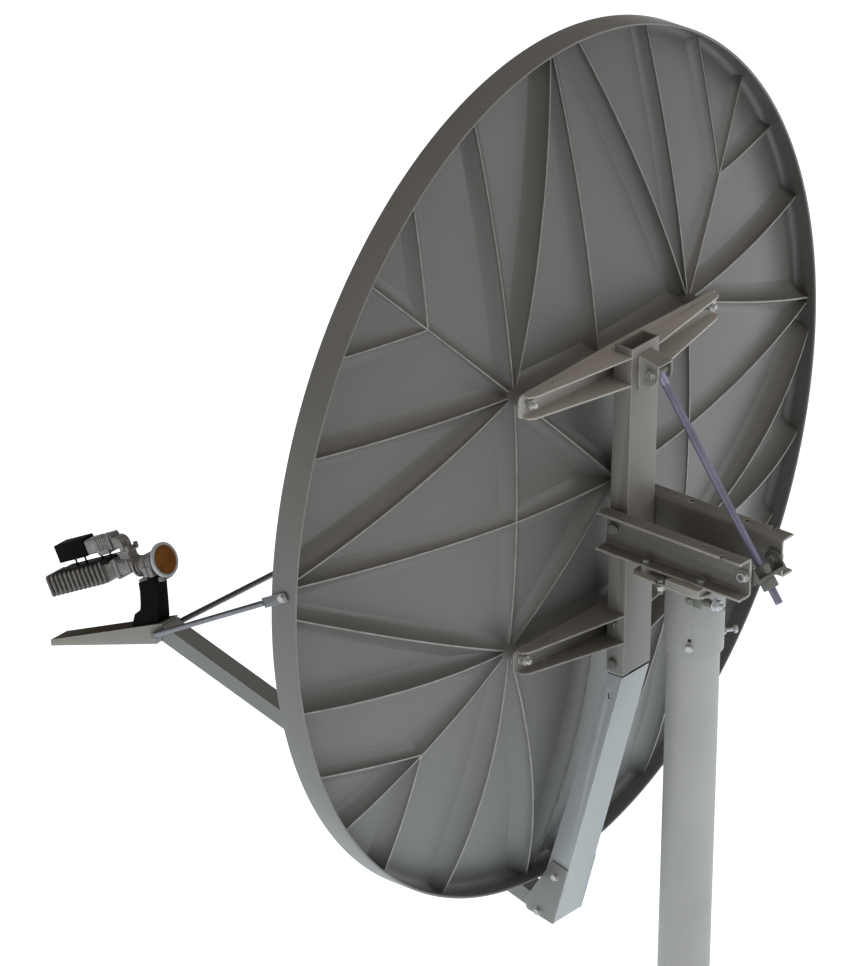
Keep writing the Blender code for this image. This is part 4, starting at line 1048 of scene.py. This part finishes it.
class DISH_OT_reflector(bpy.types.Operator):
    """Mould the bowl, its ribs and hubs, and the band round its rim"""

    bl_idname = "dish.reflector"
    bl_label = "Reflector"

    def execute(self, context):
        sizes = context.scene.dish_sizes
        bowl = shell_skin(sizes.rim_fillet, 44, 192)
        piece("bowl", bowl, "bowl", "reflector_coat", "reflector", ["reflector_shell"], 40.0)
        self.rim(sizes.rim_lip)
        self.ribs(sizes)
        self.hubs()
        return {"FINISHED"}

    def rim(self, lip):
        """A band with a thicker, rounded lip at its back edge."""
        depth = RIM_BACK_Y - RIM_FRONT_Y
        wall, turn = RIM_WALL, 0.0009
        section = [
            (0.0, turn), (turn, 0.0), (depth - 0.003, 0.0), (depth - 0.0012, 0.0005), (depth, 0.002),
            (depth, lip - 0.002), (depth - 0.0012, lip - 0.0005), (depth - 0.003, lip),
            (depth - 0.008, lip - 0.0004), (depth - 0.013, wall), (0.0, wall)]
        path = [rim_point(360.0 * step / RIM_STEPS) for step in range(RIM_STEPS)]
        mesh = grown(sweep_tree(), loop_mesh([(p.x, RIM_FRONT_Y, p.y) for p in path]), "reflector", {
            "Section": loop_mesh([(*p, 0.0) for p in section])})
        piece("rim_band", mesh, "reflector", "reflector_coat", "reflector", ["reflector_rim"])

    def ribs(self, sizes):
        """Webs that lie on the bowl's back and stop inside the rim."""
        mesh = grown(rib_tree(), path_mesh(), "bowl", {
            "Section": rib_section(sizes.rib_crest, sizes.rib_fillet), "Shell": shell_skin(0.0, 30, 128),
            "Half Width": DISH_HALF_WIDTH - RIM_WALL + 0.0005,
            "Half Height": DISH_HALF_HEIGHT - RIM_WALL + 0.0005, "Centre Height": CENTRE_Z,
            "Sink": RIB_SINK})
        nodes = [f"ribs_{row}_{side}" for row in ("upper", "lower") for side in ("left", "middle", "right")]
        piece("rib_web", mesh, "bowl", "reflector_coat", "reflector", nodes + ["ribs_centre"])

    def hubs(self):
        """Bosses that the cross channels are bolted to, flared where they leave the shell."""
        bosses = []
        for side in SIDES:
            for z in (UPPER_HUB_Z, LOWER_HUB_Z):
                rings = []
                for radius, share in HUB_PROFILE:
                    rings.append([])
                    for across, rise, _ in ring_points(28, radius):
                        x, tall = side * HUB_X + across, z + rise
                        foot = dish_y(x, tall) + SHELL_WALL - HUB_SINK
                        rings[-1].append((x, foot + (HUB_BACK_Y - foot) * share, tall))
                bosses.append(lofted(rings, capped=True))
        piece("hub_bosses", merged(bosses), "bowl", "reflector_coat", "reflector")


class DISH_OT_back_frame(bpy.types.Operator):
    """Dress the tube, the cross channels, the strut and its gussets, and the rod's bracket"""

    bl_idname = "dish.back_frame"
    bl_label = "Back frame"

    def execute(self, context):
        # Each cross channel takes its own copy of the mount coat: lighter for the upper, darker for the
        # lower, as painted light and shade.
        for word, web, flange in (("upper", 0.277, 0.335), ("lower", -0.3288, -0.283)):
            holes = [drill((side * 0.245, CROSS_FACE_Y, CENTRE_Z + web), BACK, SMALL_HOLE) for side in SIDES]
            holes += [drill((side * 0.246, -0.210, CENTRE_Z + flange), UP, SMALL_HOLE) for side in SIDES]
            dressed(f"cross_channel_{word}", f"cross_beam_{word}", word, "mount_coat", holes)
        foot = drill((TUBE_HIGH.x, -0.1795, CENTRE_Z - 0.4353), LEFT, 0.0045, 0.2)
        dressed("back_tube", "spine_tube", "mount", "mount_coat", [foot], 0.0028)
        cuts = [slot_cutter((0.0, -0.186, CENTRE_Z - 0.4818), LEFT, 0.0045, 0.016, UP, 0.2),
                block((-0.2, -0.4, TUBE_LOW.z - 0.0065), (0.2, 0.1, TUBE_LOW.z + 0.1))]
        dressed("boom_strut", "strut_channel", "strut", "mount_coat", cuts, 0.0020)
        for side in ("left", "right"):
            dressed(f"boom_gusset_{side}", f"gusset_plate_{side}", "mount", "mount_coat")
        dressed("rod_clevis", "rod_bracket", "mount", "mount_coat")
        dressed("feed_tray", "tray_sheet", "tray", "mount_coat")
        return {"FINISHED"}


class DISH_OT_yoke(bpy.types.Operator):
    """Dress the yoke's channels and plate, the collar, and cut their holes"""

    bl_idname = "dish.yoke"
    bl_label = "Yoke and azimuth head"

    def execute(self, context):
        top = CHANNEL_HIGH.z
        for word, side, spots in (("left", 1, (0.0735,)), ("right", -1, (-0.0735, 0.0735))):
            holes = [drill((side * 0.0785, y, top), UP, 0.0062) for y in spots]
            holes.append(slot_cutter((side * 0.0930, 0.1352, top), UP, 0.0055, 0.022, LEFT))
            dressed(f"yoke_channel_{word}", f"yoke_beam_{word}", "yoke", "mount_coat", holes)
        # The head plate and the packing bars below take the lighter copy of the mount coat: painted light.
        dressed("azimuth_plate", "head_plate", "plate", "mount_coat")
        bars = []
        for way in SIDES:
            near, far = sorted((way * 0.070, way * 0.1112))
            bars.append(block(
                (near, 0.0, HEAD_TOP_Z - 0.0006), (far, 0.088, CHANNEL_LOW.z - 0.0006), None, 0.0012))
        piece("packing_bars", merged(bars), "plate", "mount_coat", "yoke")
        ports = [drill(*on_collar(turn, -0.2715), 0.0042, 0.02) for turn in COLLAR_PORT_TURNS]
        # The collar's darker copy of the mast coat is painted shade.
        dressed("azimuth_collar", "mast_collar", "collar", "mast_coat", ports, 0.0018)
        return {"FINISHED"}


class DISH_OT_elevation(bpy.types.Operator):
    """Cut the elevation rod's thread, its nuts, the trunnion and the pivot's hardware"""

    bl_idname = "dish.elevation"
    bl_label = "Elevation rod and pivots"

    def execute(self, context):
        self.threaded_rod(context.scene.dish_sizes.thread_pitch)
        self.trunnion()
        self.pivot()
        return {"FINISHED"}

    def threaded_rod(self, pitch):
        """The threaded bar, its plain neck and the eye on the clevis."""
        depth, half = pitch * 0.3, pitch * 0.44
        root = ROD_RADIUS - depth
        length = ROD_REACH - THREAD_START - 0.001
        core = lathe([(0, -0.02), (root, -0.02), (root, length), (root - 0.0015, length + 0.001),
                      (0, length + 0.001)], 24)
        mesh = grown(thread_tree(), core, "rod", {
            "Ridge": loop_mesh([(half, -0.0004, 0), (0, depth, 0), (-half, -0.0004, 0)]),
            "Length": length - 0.002, "Pitch": pitch, "Radius": root})
        moved(mesh, along(CLEVIS + ROD_LINE * THREAD_START, ROD_LINE))
        neck = lathe([(0, 0.008), (0.0108, 0.008), (0.0098, 0.018), (ROD_RADIUS, 0.022),
                      (ROD_RADIUS, 0.032), (root, 0.034), (0, 0.034)], 24, along(CLEVIS, ROD_LINE))
        piece("threaded_rod", merged([mesh, neck]), "rod", "passivated_rod", "rod", ["elevation_rod"])
        eye = lathe([(0.0066, -0.0190), (0.0120, -0.0190), (0.0130, -0.0180), (0.0130, 0.0180),
                     (0.0120, 0.0190), (0.0066, 0.0190)], 32, along(CLEVIS, LEFT))
        piece("rod_eye", eye, "saddle", "passivated_rod", "rod")

    def trunnion(self):
        """The saddle, its two nuts on the rod and the bolts it turns on."""
        dressed("trunnion_block", "rod_saddle", "saddle", "zinc_steel", (), 0.0014)
        flat, flats = NUT_CORNER * math.cos(math.pi / 6), hexagon(24, NUT_CORNER)
        slack = ROD_RADIUS + ROD_SLACK
        rings = [ring_points(24, reach, height) for reach, height in (
            (flat, 0.0), (flats, NUT_CHAMFER), (flats, NUT_HEIGHT - NUT_CHAMFER), (flat, NUT_HEIGHT),
            (slack, NUT_HEIGHT), (slack, 0.0))]
        for word in ("upper", "lower"):
            node = f"trunnion_nut_{word}"
            low = (middle(node) - TRUNNION).dot(ROD_LINE) - NUT_HEIGHT / 2
            nut = lofted(rings, along(TRUNNION + ROD_LINE * low, ROD_LINE), closed=True)
            piece(f"rod_nut_{word}", nut, "dull", "zinc_steel", body_of(node), [node])
        inner = [(place, -aim) for place, aim in outward((SADDLE_ARM, TRUNNION.y, TRUNNION.z))]
        fasteners("saddle_bolts", bolt_shape(), inner, "dull", "trunnion", 0.0128)
        caps = outward((WEB_OUT + 0.0006, TRUNNION.y, TRUNNION.z))
        fasteners("saddle_caps", bolt_shape(), caps, "zinc", "trunnion", 0.0138)

    def pivot(self):
        """The pivot's shank and spacers with its nuts, and the clevis pin with its head and nut."""
        centre = Vector((0, PIVOT.y, PIVOT.z))
        shank = lathe([(0, -WEB_OUT - 0.0158), (0.0070, -WEB_OUT - 0.0158), (0.0079, -WEB_OUT - 0.0148),
                       (0.0079, WEB_OUT), (0, WEB_OUT)], 24, along(centre, LEFT))
        low, high = TUBE_HIGH.x + 0.0010, CHANNEL_LOW.x - 0.0005
        spacer = [(0.0079, low), (0.0135, low), (0.0139, low + 0.0004), (0.0139, high - 0.0004),
                  (0.0135, high), (0.0079, high)]
        spacers = [lathe(spacer, 28, along(centre, LEFT * way)) for way in SIDES]
        piece("pivot_shank", merged([shank, *spacers]), "zinc", "zinc_steel", "yoke", ["pivot_bolt"])
        ends = outward((WEB_OUT + 0.0004, PIVOT.y, PIVOT.z))
        fasteners("pivot_nuts", bolt_shape(), ends, "dull", "yoke", 0.0146)
        pin = lathe([(0, -0.0355), (0.0052, -0.0355), (0.0060, -0.0347), (0.0060, 0.0275), (0, 0.0275)],
                    20, along(CLEVIS, LEFT))
        piece("clevis_pin", pin, "zinc", "zinc_steel", "reflector", ["clevis_bolt"])
        for word, aim in (("head", LEFT), ("nut", -LEFT)):
            spot = [(CLEVIS + aim * CLEVIS_REACH, aim)]
            fasteners(f"clevis_{word}", bolt_shape(), spot, "zinc", "reflector", 0.0107)


class DISH_OT_bolts(bpy.types.Operator):
    """Set the bolts, nuts and screws of the back frame, the yoke, the collar and the stays"""

    bl_idname = "dish.bolts"
    bl_label = "Bolts"

    def execute(self, context):
        sizes = context.scene.dish_sizes
        hubs = [(Vector((side * 0.3145, CROSS_FACE_Y, CENTRE_Z + z)), BACK)
                for side in SIDES for z in (0.310, -0.2975)]
        fasteners("hub_nuts", stud_shape(), hubs, "zinc", "reflector", sizes.hub_bolt)
        self.head(sizes.mount_bolt)
        tube = outward(*((TUBE_HIGH.x, y, CENTRE_Z + z) for y, z in ((-0.1776, -0.3997), (-0.1806, -0.3037))))
        fasteners("tube_bolts", bolt_shape(), tube, "dull", "reflector", sizes.tube_bolt)
        gusset = outward(*((0.0517, y, CENTRE_Z + z) for y, z in ((-0.3165, -0.9716), (-0.362, -1.0725))))
        fasteners("gusset_bolts", bolt_shape(), gusset, "zinc", "reflector", sizes.small_bolt)
        stays = outward((RIM_HIGH.x + 0.0048, -0.393, CENTRE_Z + 0.030))
        fasteners("stay_bolts", bolt_shape(), stays, "zinc", "reflector", sizes.small_bolt)
        stays = outward((0.0333, -1.468, CENTRE_Z - 0.770))
        fasteners("stay_nuts", bolt_shape(), stays, "dull", "reflector", sizes.small_bolt)
        return {"FINISHED"}

    def head(self, size):
        """Bolts of the azimuth plate, screws of the collar, and the clamp and trim screws."""
        on_flange = [(x, y, CHANNEL_LOW.z + CHANNEL_WALL) for x in (-0.080, 0.080) for y in (-0.073, 0.073)]
        on_plate = [(x, -0.016, HEAD_TOP_Z - 0.0004) for x in (-0.103, 0.103)]
        spots = [Vector(spot) for spot in on_flange + on_plate]
        heads = [(spot, UP) for spot in spots]
        nuts = [(Vector((spot.x, spot.y, PLATE_LOW.z)), -UP) for spot in spots]
        fasteners("plate_bolt_heads", bolt_shape(), heads, "dull", "yoke", size)
        fasteners("plate_bolt_nuts", stud_shape(), nuts, "zinc", "yoke", size)
        # The upper row of collar screws takes dull zinc: painted shade on the collar's shaded upper part.
        for word, rise, coat in (("lower", CLAMP_DROP, "zinc"), ("upper", -0.176, "dull")):
            screws = [on_collar(turn, rise, 0.0004) for turn in COLLAR_SCREW_TURNS]
            fasteners(f"collar_screws_{word}", bolt_shape(), screws, coat, "yoke", 0.0095)
        # The clamp screw takes bright zinc: painted highlight.
        clamp = lathe([(0, 0.007), (0.0040, 0.007), (0.0040, 0.026), (0.0080, 0.0262), (0.0088, 0.0272),
                       (0.0088, 0.0322), (0.0076, 0.0332), (0, 0.0332)], 18,
                      along(*on_collar(CLAMP_TURN, CLAMP_DROP)))
        piece("clamp_screw", clamp, "bright", "zinc_steel", "yoke")
        dressed("azimuth_adjuster", "trim_screw", "dull", "zinc_steel", (), 0.0012)
        # The trim screw's head takes bright zinc: painted highlight.
        end = Vector((0.0795, 0.111, PLATE_LOW.z - 0.0140))
        fasteners("trim_head", stud_shape(), [(end, BACK)], "bright", "yoke", 0.0132)


class DISH_OT_feed(bpy.types.Operator):
    """Build the horn, the castings, the finned transmitter, the receiver and their bracket"""

    bl_idname = "dish.feed"
    bl_label = "Feed"

    def execute(self, context):
        ahead = Vector((0.0, math.cos(FEED_RISE), math.sin(FEED_RISE)))
        self.place = along(FEED_FACE, ahead, (-1, 0, 0))
        self.horn()
        self.castings()
        self.transmitter(context.scene.dish_sizes.fin_count)
        self.cast("receiver_case", self.slabs(RECEIVER_SLABS), "plastic", ["receiver"], "black_plastic")
        self.bracket()
        for word in ("left", "right"):
            dressed(f"feed_rod_{word}", f"stay_{word}", "stay", "zinc_steel", (), 0.0009)
        return {"FINISHED"}

    def slabs(self, sizes):
        """Blocks centred across the feed, as the tables at the top give them."""
        return [block((-half, low, rear), (half, high, front), self.place, *edge)
                for half, low, high, rear, front, *edge in sizes]

    def cast(self, name, meshes, coat, stands_for=(), slot="cast_metal"):
        piece(name, merged(meshes), coat, slot, "reflector", stands_for)

    def horn(self):
        for name, profile, steps, coat, slot, nodes in (
                ("horn_cone", HORN_PROFILE, 48, "casing", "cast_metal", ()),
                ("horn_ring", HORN_RING_PROFILE, 64, "horn", "horn_coat", ["feed_horn"]),
                ("horn_collar", HORN_COLLAR_PROFILE, 40, "cast", "cast_metal", ["horn_flange"])):
            piece(name, lathe(profile, steps, self.place), coat, slot, "reflector", nodes)
        self.cast("horn_clamps", self.slabs(HORN_CLAMPS), "cast")
        self.cast("bracket_seats", self.slabs(BRACKET_SEATS), "casing")

    def castings(self):
        """The transducer, the elbow and the receiver's waveguide with their lugs, ribs and screws."""
        dressed("transducer", "transducer_body", "cast", "cast_metal", (), 0.0016)
        dressed("waveguide_elbow", "elbow_casting", "cast", "cast_metal", (), 0.0032)
        ears = [block((x - 0.0040, 0.0410, -0.0915), (x + 0.0040, 0.0545, -0.0820), self.place, 0.0022, 3)
                for x in (-0.0145, 0.0145)]
        self.cast("casting_lugs", ears + self.slabs(CASTING_LUGS), "cast")
        rib = block((-0.0188, 0.0553, -0.1640), (0.0188, 0.0890, -0.1616), None, 0.0007)
        ribs = moved(row(rib, 5, (0.0, 0.0, 0.0062), "cast"), self.place)
        self.cast("receiver_waveguide_ribs", [*self.slabs(WAVEGUIDE_SLABS), ribs], "cast",
                  ["receiver_waveguide_body"])
        turned = self.place.to_3x3()
        spots = [((x, y, -0.1300), UP) for x, y in (
            (-0.0225, -0.0110), (0.0225, -0.0110), (-0.0225, 0.0270), (0.0225, 0.0270))]
        spots += [((x, 0.0433, z), BACK) for x, z in (
            (-0.0150, -0.0880), (0.0150, -0.0880), (-0.0165, -0.1180), (0.0165, -0.1180))]
        screws = [(self.place @ Vector(spot), turned @ aim) for spot, aim in spots]
        fasteners("casting_screws", screw_shape(), screws, "zinc", "reflector", 0.0030)

    def transmitter(self, count):
        """The finned casing on a dark core that paints the shade between the fins, a dark cover that paints
        the shade on their top, and the receiver's posts.
        """
        centre, wide, tall = CASING_CENTRE, CASING_HALF_WIDTH, CASING_HALF_HEIGHT
        top = centre + tall
        # A dark core behind the fins: painted shade in the gaps between them.
        core = block((-0.0290, centre - 0.0205, FINS_START + 0.002), (0.0290, centre + 0.0225, NECK_START),
                     self.place, 0.004, 3)
        piece("transmitter_core", core, "core", "dark_casting", "reflector")
        swing = self.place @ LENGTHWISE
        neck = prism([(NECK_START, centre - tall + 0.002), (NECK_MIDDLE, centre - 0.018),
                      (NECK_END, centre - 0.016), (NECK_END, centre + 0.020),
                      (NECK_MIDDLE, centre + 0.022), (NECK_START, centre + tall - 0.002)],
                     -0.027, 0.027, swing, 0.002)
        band = block((-wide + 0.001, centre - tall + 0.001, FINS_END),
                     (wide - 0.001, centre + tall - 0.001, -0.1700), self.place, 0.0015)
        half = ((0.003, -tall), (0.0, 0.003 - tall), (0.0, 0.0190), (0.005, 0.0240))
        outline = [(wide - inset, centre + y) for inset, y in half]
        outline += [(inset - wide, centre + y) for inset, y in reversed(half)]
        fin = prism(outline, FINS_START, FINS_START + FIN_THICKNESS, None, 0.0014)
        pitch = (FINS_END - 0.006 - FINS_START) / (count - 0.4)
        fins = moved(row(fin, count, (0.0, 0.0, pitch), "casing"), self.place)
        self.cast("transmitter_casing", [neck, band, fins], "casing", ["transmitter"], "dark_casting")
        # A near-black cover on the fins' top: painted shade under the receiver.
        cover = prism([(FINS_START + 0.004, top - 0.010), (FINS_START + 0.008, top - 0.0075),
                       (FINS_START + 0.030, top - 0.0004), (-0.150, top - 0.0004), (-0.146, top - 0.004),
                       (-0.146, top - 0.010)], -0.0310, 0.0310, swing, 0.0012)
        piece("transmitter_cover", cover, "cover", "dark_casting", "reflector")
        post = [(0, centre + 0.020), (0.0032, centre + 0.020), (0.0032, 0.0410), (0.0022, 0.0420),
                (0.0022, 0.0585), (0, 0.0585)]
        posts = [lathe(post, 14, self.place @ along((0.0, 0.0, z), BACK)) for z in POST_PLACES]
        self.cast("receiver_posts", posts, "plastic", (), "black_plastic")

    def bracket(self):
        """The feed's bracket with the ribs down its back."""
        dressed("feed_bracket", "bracket_block", "plastic", "black_plastic", (), 0.0012)
        low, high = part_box("feed_bracket")
        outline = [(y, CENTRE_Z + z) for y, z in (
            (-1.5190, -0.735), (-1.5180, -0.664), (-1.5160, -0.6635), (-1.5165, -0.735))]
        rib = prism(outline, low.x - 0.0010, high.x + 0.0010, CROSSWISE, 0.0004)
        ribs = row(rib, 4, (0.0, 0.0072, 0.0040), "plastic")
        piece("bracket_ribs", ribs, "plastic", "black_plastic", "reflector")


class DISH_OT_stage(bpy.types.Operator):
    """Lay the floor, hang the soft lights and set the camera"""

    bl_idname = "dish.stage"
    bl_label = "Stage"

    def execute(self, context):
        scene = context.scene
        studio = scene.dish_studio
        self.floor(studio)
        self.light("overhead", (1.0, 3.0, 9.0), (0, -0.4, 1.6), 7.0, studio.overhead, (1.0, 0.93, 0.86))
        self.light("side", (-5.0, 8.0, 3.5), (0, -0.4, 1.4), 4.0, studio.side, (0.95, 0.98, 1.0))
        self.light("fill", (9.0, 2.0, 2.5), (0, -0.3, 1.6), 4.0, studio.fill, (1.0, 0.95, 0.9))
        world = bpy.data.worlds.new("studio")
        world.use_nodes = True
        sky = world.node_tree.nodes["Background"].inputs
        sky["Color"].default_value = (1.0, 0.94, 0.88, 1.0)
        sky["Strength"].default_value = studio.sky
        scene.world = world
        scene.view_settings.view_transform = "Standard"
        camera = bpy.data.objects.new("camera", bpy.data.cameras.new("camera"))
        scene.collection.objects.link(camera)
        heading, dip = math.radians(CAMERA_HEADING), math.radians(CAMERA_DIP)
        level = math.cos(dip)
        look = Vector((-math.sin(heading) * level, -math.cos(heading) * level, -math.sin(dip)))
        turn = look.to_track_quat("-Z", "Y").to_matrix() @ Matrix.Rotation(math.radians(CAMERA_ROLL), 3, "Z")
        camera.matrix_world = Matrix.Translation(CAMERA_PLACE) @ turn.to_4x4()
        camera.data.lens = CAMERA_LENS
        camera.data.clip_end = CAMERA_REACH
        scene.camera = camera
        return {"FINISHED"}

    def floor(self, studio):
        shape = bmesh.new()
        bmesh.ops.create_grid(shape, x_segments=8, y_segments=8, size=FLOOR_REACH)
        floor = link_in("floor", mesh_of(shape))
        coat = Coat("floor_paper", studio.floor, 0.8)
        coat.mottle(coat.ramp(coat.noise(0.4, 3.0), 0.3, 0.7), 0.985, 1.0)
        coat.shader["Emission Color"].default_value = (0.86, 0.95, 1.0, 1.0)
        coat.shader["Emission Strength"].default_value = studio.floor_glow
        floor.data.materials.append(coat.close())

    def light(self, name, place, target, size, power, colour):
        lamp = bpy.data.lights.new(name, "AREA")
        lamp.shape = "SQUARE"
        lamp.size = size
        lamp.energy = power
        lamp.color = colour
        item = bpy.data.objects.new(name, lamp)
        item.location = place
        item.rotation_euler = (Vector(target) - Vector(place)).to_track_quat("-Z", "Y").to_euler()
        item.visible_camera = False
        bpy.context.scene.collection.objects.link(item)


class DISH_PT_panel(bpy.types.Panel):
    """Lists the pieces and their sizes and colours"""

    bl_label = "Dish Antenna"
    bl_idname = "DISH_PT_panel"
    bl_space_type = "VIEW_3D"
    bl_region_type = "UI"
    bl_category = "Dish"

    def draw(self, context):
        scene = context.scene
        for operator in OPERATORS:
            self.layout.operator(operator.bl_idname)
        for group in (scene.dish_sizes, scene.dish_colours, scene.dish_studio):
            box = self.layout.box()
            for name in group.__annotations__:
                box.prop(group, name)


OPERATORS = (
    DISH_OT_finishes, DISH_OT_reflector, DISH_OT_back_frame, DISH_OT_yoke, DISH_OT_elevation,
    DISH_OT_bolts, DISH_OT_feed, DISH_OT_stage)
CLASSES = (DishSizes, DishColours, DishStudio, *OPERATORS, DISH_PT_panel)


def register():
    for item in CLASSES:
        bpy.utils.register_class(item)
    bpy.types.Scene.dish_sizes = PointerProperty(type=DishSizes)
    bpy.types.Scene.dish_colours = PointerProperty(type=DishColours)
    bpy.types.Scene.dish_studio = PointerProperty(type=DishStudio)


def unregister():
    del bpy.types.Scene.dish_studio
    del bpy.types.Scene.dish_colours
    del bpy.types.Scene.dish_sizes
    for item in reversed(CLASSES):
        bpy.utils.unregister_class(item)


def main():
    register()
    bpy.ops.dish.finishes()
    bpy.ops.dish.reflector()
    bpy.ops.dish.back_frame()
    bpy.ops.dish.yoke()
    bpy.ops.dish.elevation()
    bpy.ops.dish.bolts()
    bpy.ops.dish.feed()
    bpy.ops.dish.stage()


if __name__ == "__main__":
    main()
